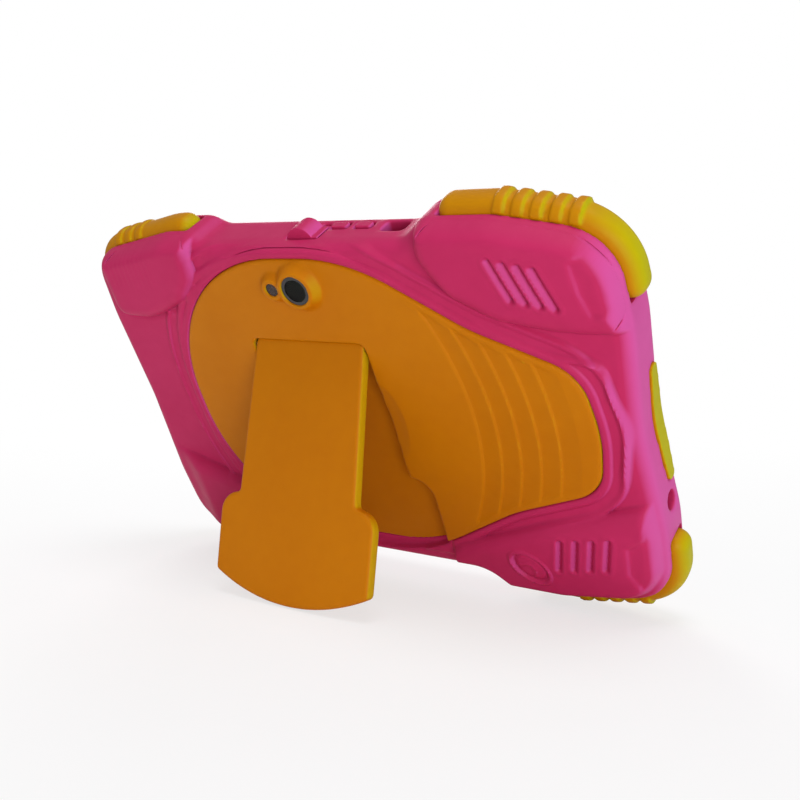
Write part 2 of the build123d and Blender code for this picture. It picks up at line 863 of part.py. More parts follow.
with BuildPart() as back_plate:
    with BuildSketch(back_at(recess_floor)):
        add(pear_face())
    extrude(amount=plate_thickness)
    plate_ends = back_plate.faces().sort_by(Axis(case_origin, out_dir))
    fillet(plate_ends[-1].edges(), radius=plate_edge_round)
    for wave_centre in wave_centres:
        with BuildSketch(back_at(plate_face - wave_height)):
            add(wave_face(wave_centre))
        extrude(amount=2 * wave_height)
    with BuildSketch(back_at(plate_face, lens_x, lens_y)):
        Circle(lens_bezel_base)
    extrude(amount=lens_bezel_height, taper=bezel_taper(lens_bezel_base, lens_bezel_top, lens_bezel_height))
    with BuildSketch(back_at(plate_face, flash_x, flash_y)):
        Circle(flash_bezel_base)
    extrude(amount=flash_bezel_height, taper=bezel_taper(flash_bezel_base, flash_bezel_top, flash_bezel_height))
    with BuildSketch(back_at(recess_floor)):
        with Locations((lens_x, lens_y)):
            Circle(lens_ring_radius + optic_gap)
        with Locations((flash_x, flash_y)):
            Circle(flash_radius)
    extrude(amount=plate_thickness + lens_bezel_height, mode=Mode.SUBTRACT)
    with BuildSketch(back_at(stand_floor, stand_centre, hinge_height)):
        add(stand_face(stand_side_gap))
    extrude(amount=plate_thickness, mode=Mode.SUBTRACT)
    add(finger_scoop.part, mode=Mode.SUBTRACT)
    with BuildSketch(side_at(stand_centre, hinge_height, hinge_depth)):
        Circle(pin_radius + pin_seat_gap)
    extrude(amount=pin_half_length, both=True, mode=Mode.SUBTRACT)


# ------------------------------------------------------ stand and its pin
stand_up = up_dir * cos(open_angle) - out_dir * sin(open_angle)
stand_side = Plane(origin=stand_origin, x_dir=stand_up, z_dir=right_dir)
heel_reach = hinge_depth - stand_floor - heel_gap

with BuildPart() as kickstand:
    with BuildSketch(stand_at(-stand_thickness / 2)):
        add(stand_face())
    extrude(amount=stand_thickness)
    stand_faces = kickstand.faces().sort_by(Axis(stand_origin, stand_out))
    fillet(stand_faces[0].edges() + stand_faces[-1].edges(), radius=stand_edge_round)
    with BuildSketch(stand_side):
        with Locations(Rotation(0, 0, stand_open_angle - 90)):
            with Locations((heel_reach + stand_thickness, 0)):
                Rectangle(2 * stand_thickness, 4 * stand_thickness)
    extrude(amount=stand_foot_width, both=True, mode=Mode.SUBTRACT)
    with BuildSketch(stand_side):
        Circle(pin_radius + pin_running_gap)
    extrude(amount=stand_neck_top, both=True, mode=Mode.SUBTRACT)

with BuildPart() as hinge_pin:
    with BuildSketch(side_at(stand_centre, hinge_height, hinge_depth)):
        Circle(pin_radius)
    extrude(amount=pin_half_length - optic_gap, both=True)


# ------------------------------------------------------ camera and flash
lens_ring_top = plate_face + lens_bezel_height - lens_ring_sink
window_seat = lens_ring_top - lens_window_thickness - lens_window_sink

with BuildPart() as lens_ring:
    with BuildSketch(back_at(cover_back, lens_x, lens_y)):
        Circle(lens_ring_radius)
        Circle(lens_bore_radius, mode=Mode.SUBTRACT)
    extrude(amount=lens_ring_top - cover_back)
    with BuildSketch(back_at(window_seat, lens_x, lens_y)):
        Circle(lens_window_radius)
    extrude(amount=lens_ring_top - window_seat, mode=Mode.SUBTRACT)

with BuildPart() as lens_window:
    with BuildSketch(back_at(window_seat, lens_x, lens_y)):
        Circle(lens_window_radius)
    extrude(amount=lens_window_thickness)

with BuildPart() as rear_camera:
    with BuildSketch(back_at(cover_inside - camera_base_height, lens_x, lens_y)):
        Rectangle(camera_size, camera_size)
    extrude(amount=camera_base_height)
    with BuildSketch(back_at(cover_inside, lens_x, lens_y)):
        Circle(lens_bore_radius - optic_gap)
    extrude(amount=camera_barrel_height)

with BuildPart() as flash_lens:
    with BuildSketch(back_at(cover_back, flash_x, flash_y)):
        Circle(flash_radius - optic_gap)
    extrude(amount=plate_face + flash_bezel_height - lens_ring_sink - cover_back)

with BuildPart() as flash_led:
    with BuildSketch(back_at(board_back, flash_x, flash_y)):
        Circle(flash_radius - 3 * optic_gap)
    extrude(amount=cover_back - board_back)


# ------------------------------------------------------ buttons
key_outer = tablet_width / 2 + key_proud
flange_outer = inner_half_width - key_stop_gap
flange_inner = flange_outer - key_flange
switch_reach = flange_inner - key_travel - optic_gap
dome_base = waist_top - power_well / 2

with BuildPart() as power_cover:
    with BuildSketch(back_at(power_dome_middle - power_dome_depth / 2, power_x, dome_base)):
        with BuildLine():
            dome_top = waist_top + power_dome_height - dome_base
            ThreePointArc((-power_dome_half_width, 0), (0, dome_top), (power_dome_half_width, 0))
            Line((-power_dome_half_width, 0), (power_dome_half_width, 0))
        make_face()
    extrude(amount=power_dome_depth)
    with BuildSketch(top_at(dome_base)):
        with Locations((power_foot_x, -power_dome_middle)):
            Rectangle(power_foot_length, power_dome_depth)
    extrude(amount=waist_top - dome_base)
    with BuildSketch(top_at(key_outer)):
        with Locations((power_key_x, -key_depth)):
            Rectangle(power_key_length, power_stem_depth)
    extrude(amount=dome_base - key_outer + optic_gap)


def volume_cover(pad_x):
    """Soft bar that carries a finger's push through the case to a volume key."""
    with BuildPart() as pad:
        with BuildSketch(top_at(key_outer)):
            with Locations((pad_x, -pad_depth)):
                RectangleRounded(volume_pad_length, volume_pad_depth, volume_pad_depth / 3)
        extrude(amount=waist_top + volume_pad_proud - key_outer)
        pad_ends = pad.faces().sort_by(Axis(case_origin, up_dir))
        fillet(pad_ends[-1].edges(), radius=volume_pad_proud)
    return pad


def side_key(key_x, length):
    """Tablet key with a flange that keeps it behind the cover's wall."""
    with BuildPart() as key:
        with BuildSketch(top_at(flange_inner)):
            with Locations((key_x, -key_depth)):
                Rectangle(length, key_thickness)
        extrude(amount=key_outer - flange_inner)
        with BuildSketch(top_at(flange_inner)):
            with Locations((key_x, -key_depth)):
                Rectangle(length + 2 * key_flange, key_thickness)
        extrude(amount=key_flange)
    return key


volume_up_cover = volume_cover(volume_up_x)
volume_down_cover = volume_cover(volume_down_x)
power_key = side_key(power_key_x, power_key_length)
volume_up_key = side_key(volume_up_x, volume_key_length)
volume_down_key = side_key(volume_down_x, volume_key_length)

with BuildPart() as key_switches:
    switch_places = [(key_x, -(board_front - switch_height / 2)) for key_x in key_places]
    with BuildSketch(top_at(switch_reach - switch_length)):
        with Locations(switch_places):
            Rectangle(switch_width, switch_height)
    extrude(amount=switch_length - switch_plunger)
    with BuildSketch(top_at(switch_reach - switch_plunger)):
        with Locations([(key_x, -key_depth) for key_x in key_places]):
            Circle(switch_width / 4)
    extrude(amount=switch_plunger)


# ------------------------------------------------------ tablet body
def cover_opening(width, height):
    return Rectangle(width + 2 * glass_gap, height + 2 * glass_gap)


with BuildPart() as tablet_cover:
    with BuildSketch(back_at(glass_front)):
        RectangleRounded(tablet_length, tablet_width, tablet_corner)
    extrude(amount=tablet_thickness)
    cover_ends = tablet_cover.faces().sort_by(Axis(case_origin, out_dir))
    fillet(cover_ends[-1].edges(), radius=cover_edge_round)
    with BuildSketch(back_at(glass_front)):
        RectangleRounded(2 * inner_half_length, 2 * inner_half_width, tablet_corner - cover_wall)
    extrude(amount=cover_inside - glass_front, mode=Mode.SUBTRACT)
    with BuildSketch(back_at(frame_back)):
        with GridLocations(2 * cover_post_x, 2 * cover_post_y, 2, 2):
            Circle(cover_post_radius)
    extrude(amount=cover_inside - frame_back)
    with BuildSketch(back_at(board_back)):
        with Locations(board_screw_places):
            Circle(boss_radius)
    extrude(amount=cover_inside - board_back)
    with BuildSketch(back_at(board_back)):
        with Locations(board_screw_places):
            Circle(screw_radius)
    extrude(amount=screw_length - board_thickness, mode=Mode.SUBTRACT)
    with BuildSketch(back_at(cover_inside)):
        with Locations((lens_x, lens_y)):
            Circle(lens_bore_radius)
        with Locations((flash_x, flash_y)):
            Circle(flash_radius)
        for speaker_x in speaker_places:
            with Locations((speaker_x, speaker_y)):
                with GridLocations(sound_hole_pitch, sound_hole_pitch, 5, 2):
                    Circle(sound_hole_radius)
    extrude(amount=cover_floor, mode=Mode.SUBTRACT)
    with BuildSketch(top_at(inner_half_width)):
        with Locations((power_key_x, -key_depth)):
            Rectangle(power_key_length + 2 * key_gap, key_thickness + 2 * key_gap)
        with Locations((volume_up_x, -key_depth), (volume_down_x, -key_depth)):
            Rectangle(volume_key_length + 2 * key_gap, key_thickness + 2 * key_gap)
        with Locations((usb_x, -usb_depth)):
            cover_opening(usb_length, usb_thickness)
    extrude(amount=cover_wall, mode=Mode.SUBTRACT)
    with BuildSketch(side_at(inner_half_length)):
        with Locations((jack_y, jack_depth)):
            Circle(jack_nose_radius + optic_gap)
        with Locations((card_y, card_depth)):
            cover_opening(card_width - 2 * card_wall, card_thickness - 2 * card_wall)
    extrude(amount=cover_wall, mode=Mode.SUBTRACT)

with BuildPart() as touch_glass:
    with BuildSketch(back_at(glass_front)):
        RectangleRounded(glass_length, glass_width, tablet_corner - cover_wall - glass_gap)
    extrude(amount=glass_thickness)

with BuildPart() as screen_frame:
    with BuildSketch(back_at(glass_back)):
        RectangleRounded(glass_length, glass_width, tablet_corner - cover_wall - glass_gap)
    extrude(amount=screen_frame_thickness)
    with BuildSketch(back_at(glass_back)):
        Rectangle(panel_length + 2 * panel_gap, panel_width + 2 * panel_gap)
    extrude(amount=screen_frame_thickness - screen_frame_floor, mode=Mode.SUBTRACT)
    with BuildSketch(back_at(glass_back)):
        with Locations((front_camera_x, front_camera_y)):
            Rectangle(front_camera_size + 2 * optic_gap, front_camera_size + 2 * optic_gap)
        with Locations((ribbon_x, ribbon_y)):
            Rectangle(ribbon_thickness + 2 * panel_gap, ribbon_width + 2 * panel_gap)
    extrude(amount=screen_frame_thickness, mode=Mode.SUBTRACT)

with BuildPart() as display_panel:
    with BuildSketch(back_at(glass_back)):
        Rectangle(panel_length, panel_width)
    extrude(amount=panel_thickness)

with BuildPart() as backlight:
    with BuildSketch(back_at(glass_back + panel_thickness)):
        Rectangle(panel_length, panel_width)
    extrude(amount=screen_frame_thickness - screen_frame_floor - panel_thickness)

with BuildPart() as display_ribbon:
    with BuildSketch(back_at(frame_back - screen_frame_floor, ribbon_x, ribbon_y)):
        Rectangle(ribbon_thickness, ribbon_width)
    extrude(amount=board_front - frame_back + screen_frame_floor)

with BuildPart() as front_camera:
    with BuildSketch(back_at(glass_back, front_camera_x, front_camera_y)):
        Rectangle(front_camera_size, front_camera_size)
    extrude(amount=screen_frame_thickness)

with BuildPart() as main_board:
    with BuildSketch(back_at(board_front)):
        with Locations(((board_left + board_right) / 2, (board_top + board_arm_bottom) / 2)):
            Rectangle(board_right - board_left, board_top - board_arm_bottom)
        with Locations(((board_inner + board_right) / 2, (board_top + board_bottom) / 2)):
            Rectangle(board_right - board_inner, board_top - board_bottom)
        with Locations((lens_x, lens_y + camera_size / 2)):
            Rectangle(camera_size + 4 * optic_gap, 2 * camera_size + 4 * optic_gap, mode=Mode.SUBTRACT)
        with Locations((board_right, jack_y)):
            Rectangle(jack_notch, jack_block_width + 4 * optic_gap, mode=Mode.SUBTRACT)
        with Locations(board_screw_places):
            Circle(screw_radius + optic_gap, mode=Mode.SUBTRACT)
    extrude(amount=board_thickness)

with BuildPart() as board_screws:
    with BuildSketch(back_at(board_front - screw_head_height)):
        with Locations(board_screw_places):
            Circle(screw_head_radius)
    extrude(amount=screw_head_height)
    with BuildSketch(back_at(board_front)):
        with Locations(board_screw_places):
            Circle(screw_radius - optic_gap / 2)
    extrude(amount=screw_length - optic_gap)
    with BuildSketch(back_at(board_front - screw_head_height)):
        with Locations(board_screw_places):
            RegularPolygon(screw_radius, 6)
    extrude(amount=screw_head_height / 2, mode=Mode.SUBTRACT)

with BuildPart() as shield_cans:
    with BuildSketch(back_at(board_front - shield_height)):
        with Locations((processor_x, processor_y)):
            RectangleRounded(processor_length, processor_width, shield_corner)
        with Locations((radio_x, radio_y)):
            RectangleRounded(radio_length, radio_width, shield_corner)
    extrude(amount=shield_height)

with BuildPart() as battery:
    with BuildSketch(back_at(cover_inside - battery_thickness, battery_x, battery_y)):
        RectangleRounded(battery_length, battery_width, battery_corner)
    extrude(amount=battery_thickness)

with BuildPart() as battery_leads:
    battery_top = battery_y + battery_width / 2
    with BuildSketch(top_at(battery_top)):
        with Locations([(lead_x + index * lead_pitch, -board_middle) for index in range(lead_count)]):
            Circle(lead_radius)
    extrude(amount=board_arm_bottom - battery_top)

with BuildPart() as camera_ribbon:
    ribbon_low = lens_y - camera_size / 2 - 2 * optic_gap
    with BuildSketch(top_at(ribbon_low)):
        with Locations((lens_x, -board_middle)):
            Rectangle(camera_size / 2, ribbon_thickness)
    extrude(amount=2 * optic_gap)

with BuildPart() as speakers:
    with BuildSketch(back_at(cover_inside - speaker_height)):
        with Locations([(speaker_x, speaker_y) for speaker_x in speaker_places]):
            RectangleRounded(speaker_length, speaker_width, speaker_corner)
    extrude(amount=speaker_height)

with BuildPart() as microphone:
    with BuildSketch(back_at(board_front - microphone_height)):
        with Locations((microphone_x, microphone_y)):
            Rectangle(microphone_length, microphone_width)
    extrude(amount=microphone_height)

with BuildPart() as antenna:
    with BuildSketch(side_at(inner_half_length - ribbon_thickness)):
        with Locations((antenna_y, key_depth + antenna_width / 4)):
            Rectangle(antenna_length, antenna_width)
    extrude(amount=ribbon_thickness)


# ------------------------------------------------------ ports
with BuildPart() as usb_port:
    with BuildSketch(top_at(tablet_width / 2 - usb_body_depth)):
        with Locations((usb_x, -usb_depth)):
            Rectangle(usb_length, usb_thickness)
    extrude(amount=usb_body_depth)
    with BuildSketch(top_at(tablet_width / 2 - usb_body_depth + usb_wall)):
        with Locations((usb_x, -usb_depth)):
            Rectangle(usb_length - 2 * usb_wall, usb_thickness - 2 * usb_wall)
            Rectangle(usb_length / 2, usb_thickness / 4, mode=Mode.SUBTRACT)
    extrude(amount=usb_body_depth, mode=Mode.SUBTRACT)

with BuildPart() as headphone_jack:
    with BuildSketch(side_at(tablet_length / 2 - jack_bore_length - jack_wall)):
        with Locations((jack_y, jack_depth)):
            Rectangle(jack_block_width, jack_block_thickness)
    extrude(amount=jack_bore_length + jack_wall - cover_wall)
    with BuildSketch(side_at(inner_half_length)):
        with Locations((jack_y, jack_depth)):
            Circle(jack_nose_radius)
    extrude(amount=cover_wall)
    with BuildSketch(side_at(tablet_length / 2 - jack_bore_length)):
        with Locations((jack_y, jack_depth)):
            Circle(jack_bore_radius)
    extrude(amount=jack_bore_length, mode=Mode.SUBTRACT)

with BuildPart() as card_slot:
    with BuildSketch(side_at(inner_half_length - card_length)):
        with Locations((card_y, card_depth)):
            Rectangle(card_width, card_thickness)
    extrude(amount=card_length)
    with BuildSketch(side_at(inner_half_length - card_length + card_wall)):
        with Locations((card_y, card_depth)):
            Rectangle(card_width - 2 * card_wall, card_thickness - 2 * card_wall)
    extrude(amount=card_length, mode=Mode.SUBTRACT)


# ------------------------------------------------------ files
write(bumper_case, "bumper_case")
write(back_plate, "back_plate")
write(corner_bumper_tr, "corner_bumper_tr")
write(corner_bumper_tl, "corner_bumper_tl")
write(corner_bumper_br, "corner_bumper_br")
write(corner_bumper_bl, "corner_bumper_bl")
write(side_strip_right, "side_strip_right")
write(side_strip_left, "side_strip_left")
write(kickstand, "kickstand")
write(hinge_pin, "hinge_pin")
write(lens_ring, "lens_ring")
write(lens_window, "lens_window")
write(rear_camera, "rear_camera")
write(flash_lens, "flash_lens")
write(flash_led, "flash_led")
write(power_cover, "power_cover")
write(volume_up_cover, "volume_up_cover")
write(volume_down_cover, "volume_down_cover")
write(power_key, "power_key")
write(volume_up_key, "volume_up_key")
write(volume_down_key, "volume_down_key")
write(key_switches, "key_switches")
write(tablet_cover, "tablet_cover")
write(touch_glass, "touch_glass")
write(screen_frame, "screen_frame")
write(display_panel, "display_panel")
write(backlight, "backlight")
write(display_ribbon, "display_ribbon")
write(front_camera, "front_camera")
write(main_board, "main_board")
write(board_screws, "board_screws")
write(shield_cans, "shield_cans")
write(battery, "battery")
write(battery_leads, "battery_leads")
write(camera_ribbon, "camera_ribbon")
write(speakers, "speakers")
write(microphone, "microphone")
write(antenna, "antenna")
write(usb_port, "usb_port")
write(headphone_jack, "headphone_jack")
write(card_slot, "card_slot")
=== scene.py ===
import json
from math import cos, pi, radians, sin

import bpy
import numpy as np
from mathutils import Euler, Matrix, Vector


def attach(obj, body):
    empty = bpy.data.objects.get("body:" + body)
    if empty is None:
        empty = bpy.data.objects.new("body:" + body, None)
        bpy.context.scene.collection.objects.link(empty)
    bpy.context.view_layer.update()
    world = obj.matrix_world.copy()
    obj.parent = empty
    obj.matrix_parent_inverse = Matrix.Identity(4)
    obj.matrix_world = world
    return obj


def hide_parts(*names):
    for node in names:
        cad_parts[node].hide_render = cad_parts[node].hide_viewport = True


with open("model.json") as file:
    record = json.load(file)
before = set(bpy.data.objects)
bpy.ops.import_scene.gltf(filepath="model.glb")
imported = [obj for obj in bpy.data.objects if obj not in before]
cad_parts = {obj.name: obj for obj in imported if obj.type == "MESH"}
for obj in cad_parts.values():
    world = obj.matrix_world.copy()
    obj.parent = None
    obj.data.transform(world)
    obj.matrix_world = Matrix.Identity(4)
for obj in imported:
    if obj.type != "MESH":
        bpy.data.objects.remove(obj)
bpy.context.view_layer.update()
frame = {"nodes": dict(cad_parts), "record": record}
nodes = frame["nodes"]
scene = bpy.context.scene
MM = 0.001

# ------------------------------------------------------ the case's own frame
# x runs right as seen from the back, y up the case and z out of its back.
hinge_place = (-9.6, 25.0, 19.25)
joints = {joint["name"]: joint for joint in frame["record"]["behaviour"]["joints"]}
case_up = -np.array(joints["power_press"]["axis"])
case_right = np.array((1.0, 0.0, 0.0))
case_out = np.cross(case_right, case_up)
case_axes = np.array((case_right, case_up, case_out))
case_origin = np.array(joints["stand_hinge"]["pos_m"]) - MM * np.array(hinge_place) @ case_axes
case_matrix = Matrix(case_axes.T.tolist()).to_4x4() @ Matrix.Scale(MM, 4)
case_matrix.translation = Vector(case_origin)

# ------------------------------------------------- outlines, in millimetres
# A quarter of the case runs from the middle of its top edge round to its side.
case_centre = -1.75
waist_side = 97.4
waist_round = 60.0
right_quarter = [(34.5, 63.75), (42.0, 70.3), (64.0, 70.3), (98.0, 64.3), (99.6, 36.0)]
right_rounds = [9.0, 8.0, 30.0, 18.0, 60.0]
left_quarter = [(42.0, 63.75), (48.0, 67.0), (58.5, 67.0), (96.5, 59.5), (98.4, 36.0)]
left_rounds = [9.0, 8.0, 30.0, 13.0, 60.0]
pear_points = [(-67.4, 58.0), (14.5, 58.0), (51.6, 34.6), (83.6, 21.4), (86.6, 0.0)]
pear_rounds = [55.0, 60.0, 60.0, 16.0, 50.0]
picture_half = (76.0, 46.5)
camera_window = (20.0, 50.2)
window_rim = (1.4, 1.9)
window_pupil = 0.8
foot_half_width = 31.3

# In a pair for ramp, a change begins at the first value and is complete at the second.
foot_sides = (2.0, 4.0)
above_foot = (-3.0, 0.0)
below_foot = (-64.5, -67.0)

# ------------------------------------------------- the lobes on the back
upper_lobe = [(41.0, 80.0), (40.5, 58.0), (48.0, 46.2), (62.0, 38.4), (80.0, 35.0), (112.0, 34.2),
              (112.0, 80.0)]
upper_lobe_rounds = [2, 10, 12, 14, 20, 2, 2]
left_lobe = [(-90.6, 80.0), (-90.6, 35.0), (-73.0, 34.6), (-55.0, 42.6), (-46.6, 52.0), (-46.6, 80.0)]
left_lobe_rounds = [2, 7, 16, 14, 8, 2]
lower_lobe = [(112.0, -80.0), (112.0, -21.0), (92.0, -26.4), (62.0, -37.2), (28.0, -51.3), (15.0, -60.0),
              (12.0, -80.0)]
lower_lobe_rounds = [2, 2, 14, 20, 14, 6, 2]
lower_left_lobe = [(-x, y) for x, y in reversed(lower_lobe)]
lower_left_rounds = lower_lobe_rounds[::-1]
lobe_plans = [(upper_lobe, upper_lobe_rounds), (left_lobe, left_lobe_rounds),
              (lower_lobe, lower_lobe_rounds), (lower_left_lobe, lower_left_rounds)]
lobe_top = 24.2
lobe_round = 5.0
lobe_flank = 5.0
lobe_flank_spread = 4.0
lobe_spread_zone = (60.0, 90.0)
upper_inset = 0.5
lower_inset = 3.2
lower_inset_ease = 1.8
right_end_across = (88.0, 95.0)
right_end_upwards = (-60.0, -50.0)
lower_left_fade = 0.85
lower_left_across = (-82.0, -94.0)
lower_left_upwards = (0.0, -10.0)
crown_overhang = 0.5
crown_dip = 0.4
crown_dip_start = (1.0, 5.0)
crown_dip_end = (5.0, 16.0)

# ------------------------------------------------- relief between the lobes
plate_face = 21.5
valley = 19.5
case_round = 5.0
field_rise = 0.9
field_edge = (8.6, 7.0)
nose_field_edge = (-0.6, 1.0)
pear_ridge_rise = 0.75
pear_ridge_place = 7.2
pear_ridge_width = 1.4
pear_ridge_end = (0.1, 0.5)
pear_lip_rise = 1.9
pear_lip_round = 1.0
pear_lip_fall = 2.4
pear_lip_slope = (2.2, 4.2)
nose_ridge_rise = 1.1
nose_ridge_width = 1.6
nose_ridge_fade_in = (0.0, 0.15)
nose_ridge_fade_out = (1.0, 0.9)
nose_crease = [(50.9, 39.0), (66.8, 30.8), (78.2, 26.4), (89.4, 23.9), (92.0, 13.1), (94.2, 2.2),
               (92.1, -9.6), (89.5, -21.2)]
nose_field = [(66.0, 31.0)] + nose_crease[2:] + [(66.0, -31.0)]
left_groove_depth = 0.7
left_groove_width = 2.2
left_groove_fade_in = (0.0, 0.1)
left_groove_fade_out = (1.0, 0.8)
left_crease = [(-92.0, 36.6), (-78.6, 34.6), (-66.0, 37.6), (-54.0, 44.0), (-46.0, 49.8), (-38.0, 54.6),
               (-30.0, 58.0)]

# ------------------------------------------------- small relief on the lobes
corner_facets = [[(86.5, 58.5), (91.5, 61.5), (97.5, 57.5), (98.0, 42.5), (91.0, 39.8), (88.0, 48.5)],
                 [(88.0, -40.0), (95.5, -34.0), (98.5, -38.0), (98.0, -55.0), (91.0, -58.5),
                  (87.0, -51.5)]]
facet_depth = 0.9
facet_slope = (0.0, 2.2)
facet_clear_of_edge = (1.0, 4.0)
vent_count = 4
vent_length = 12.0
vent_half_width = 1.3
vent_depth = 1.4
vent_lip_place = 1.8
vent_lip_width = 0.9
vent_lip_rise = 0.35
# The first vent's top end, the step to the next one, and how far each leans.
vent_rows = [((64.5, 58.7), (4.3, -0.8), 4.8), ((67.0, -41.7), (5.5, 1.1), -2.4)]
badge_middle = np.array((54.3, -54.8))
badge_turn = radians(-40.0)
badge_half = (7.6, 5.4)
badge_rim_rise = 0.9
badge_rim_width = 0.16
badge_hollow_share = 0.7
badge_hollow_place = 0.78
badge_hollow_width = 0.14
badge_arc_rise = 0.7
badge_arc_base = -2.6
badge_arc_radius = 4.0
badge_arc_width = 0.8
badge_arc_squeeze = 0.85
badge_arc_start = (badge_arc_base, badge_arc_base + 1.0)
badge_arc_reach = 0.8
fine_rib_pitch = 2.3
fine_rib_depth = 0.05
fine_ribs_left = (-88.0, -84.0)
fine_ribs_right = (-62.0, -66.0)
fine_ribs_bottom = (46.0, 50.0)

# ------------------------------------------------- steps on the pear's nose
wave_count = 5
wave_first = 46.7
wave_pitch = 6.7
wave_radius = 92.0
wave_depth = 0.65
wave_slope_share = 0.88
wave_slope_curve = 1.3
wave_lead_in = 0.8
wave_inside_pear = (1.4, 3.6)
plate_top = (plate_face - 0.8, plate_face - 0.2)
plate_facing_out = (0.3, 0.7)

# ------------------------------------------------- how fine the pieces are
# Voxels and distances are in millimetres, and smoothing is counted in rounds.
case_mould = {"voxel": 0.55, "smoothing": 4, "triangles": 190000}
bumper_mould = {"voxel": 0.45, "smoothing": 6, "triangles": 40000}
strip_mould = {"voxel": 0.3, "smoothing": 5, "triangles": 12000}
cover_mould = {"voxel": 0.22, "smoothing": 6, "triangles": 20000}
plate_mould = {"voxel": 0.45, "smoothing": 3, "triangles": 150000}
stand_mould = {"voxel": 0.4, "smoothing": 3, "triangles": 70000}
relief_smoothing = 3
wave_smoothing = 1
shade_angle = 40.0
merge_distance = 0.002
cover_draw_in = 0.1

# ------------------------------------------------- which points take the relief
relief_level = (13.2, 14.6)
relief_round_pear = (0.1, 0.5)
relief_inside_case = (1.5, 3.0)
lowered_facing = (-0.3, 0.1)
lifted_facing = (0.08, 0.35)


# ------------------------------------------------------------- outlines
def from_case(point):
    """Scene place of a point given in the case's frame."""
    return case_origin + MM * np.array(point) @ case_axes


def rounded(points, rounds, steps=14):
    """Closed outline through corner points, each with its own round."""
    line = []
    count = len(points)
    for index in range(count):
        corner = Vector(points[index])
        before = (Vector(points[index - 1]) - corner).normalized()
        after = (Vector(points[(index + 1) % count]) - corner).normalized()
        half = before.angle(after) / 2
        reach = rounds[index] / np.tan(half)
        start = corner + before * reach
        end = corner + after * reach
        for step in range(steps + 1):
            t = step / steps
            line.append(tuple(start * (1 - t) ** 2 + corner * 2 * t * (1 - t) + end * t * t))
    return np.array(line)


def pear_shape():
    """Outline of the back plate: the same above and below its middle."""
    lower = [(x, -y) for x, y in reversed(pear_points) if y > 0]
    lower_rounds = [r for (x, y), r in zip(reversed(pear_points), reversed(pear_rounds)) if y > 0]
    return rounded(pear_points + lower, pear_rounds + lower_rounds)


def case_shape():
    """Outline of the whole case: three corners alike, and the upper left one slimmer."""
    lower_right = [(x, -y) for x, y in reversed(right_quarter)]
    lower_left = [(-x, -y) for x, y in right_quarter]
    upper_left = [(-x, y) for x, y in reversed(left_quarter)]
    corners = right_quarter + [(waist_side, 0.0)] + lower_right
    corners += lower_left + [(-waist_side, 0.0)] + upper_left
    rounds = right_rounds + [waist_round] + right_rounds[::-1]
    rounds += right_rounds + [waist_round] + left_rounds[::-1]
    return rounded(corners, rounds) + np.array((0.0, case_centre))


def distance_inside(outline, points):
    """Distance from each point to an outline, positive inside it."""
    runs = np.roll(outline, -1, axis=0) - outline
    lengths = (runs ** 2).sum(1) + 1e-12
    near = np.full(len(points), 1e9)
    crossings = np.zeros(len(points), bool)
    for start, run, length in zip(outline, runs, lengths):
        offset = points - start
        share = np.clip(offset @ run / length, 0, 1)
        gap = offset - share[:, None] * run
        near = np.minimum(near, (gap ** 2).sum(1))
        above = (start[1] > points[:, 1]) != (start[1] + run[1] > points[:, 1])
        if above.any():
            reach = start[0] + run[0] * (points[:, 1] - start[1]) / (run[1] if run[1] else 1e-9)
            crossings ^= above & (points[:, 0] < reach)
    return np.sqrt(near) * np.where(crossings, 1.0, -1.0)


def distance_to_line(line, points):
    """Distance from each point to an open line, and how far along the line it lies."""
    near = np.full(len(points), 1e9)
    place = np.zeros(len(points))
    walked = 0.0
    for start, end in zip(line[:-1], line[1:]):
        run = end - start
        length = np.sqrt((run ** 2).sum())
        offset = points - start
        share = np.clip(offset @ run / length ** 2, 0, 1)
        gap = np.sqrt(((offset - share[:, None] * run) ** 2).sum(1))
        place = np.where(gap < near, walked + share * length, place)
        near = np.minimum(near, gap)
        walked += length
    return near, place / walked


def eased(points, steps=6):
    """Smooth open line through points."""
    line = np.array(points)
    result = []
    count = len(line)
    for index in range(count - 1):
        first = line[max(index - 1, 0)]
        start = line[index]
        end = line[index + 1]
        last = line[min(index + 2, count - 1)]
        for step in range(steps):
            t = step / steps
            square = (2 * first - 5 * start + 4 * end - last) * t ** 2
            cube = (3 * start - first - 3 * end + last) * t ** 3
            result.append(0.5 * (2 * start + (end - first) * t + square + cube))
    result.append(line[-1])
    return np.array(result)


def ramp(low, high, values):
    """Smooth step from 0 at low to 1 at high."""
    t = np.clip((values - low) / (high - low), 0, 1)
    return t * t * (3 - 2 * t)


def ridge(values, middle, width):
    """Round ridge: 1 at the middle and 0 a width away on either side."""
    return 1 - ramp(0.0, width, np.abs(values - middle))


def round_edge(distance, radius):
    """Height lost by a quarter-round edge at a distance inside it."""
    short = radius - np.clip(distance, 0, radius)
    return radius - np.sqrt(radius ** 2 - short ** 2)


pear_outline = pear_shape()
case_outline = case_shape()


# ----------------------------------------------------------- mesh helpers
def only(obj):
    """Selects one object alone and makes it the active one."""
    bpy.ops.object.select_all(action="DESELECT")
    obj.select_set(True)
    bpy.context.view_layer.objects.active = obj


def apply_modifier(obj, kind, **values):
    """Adds one modifier with its values and applies it."""
    only(obj)
    modifier = obj.modifiers.new(kind.lower(), kind)
    for name, value in values.items():
        setattr(modifier, name, value)
    bpy.ops.object.modifier_apply(modifier=modifier.name)


def smooth(obj, rounds):
    """Relaxes a mesh a number of times."""
    apply_modifier(obj, "SMOOTH", factor=0.5, iterations=rounds)


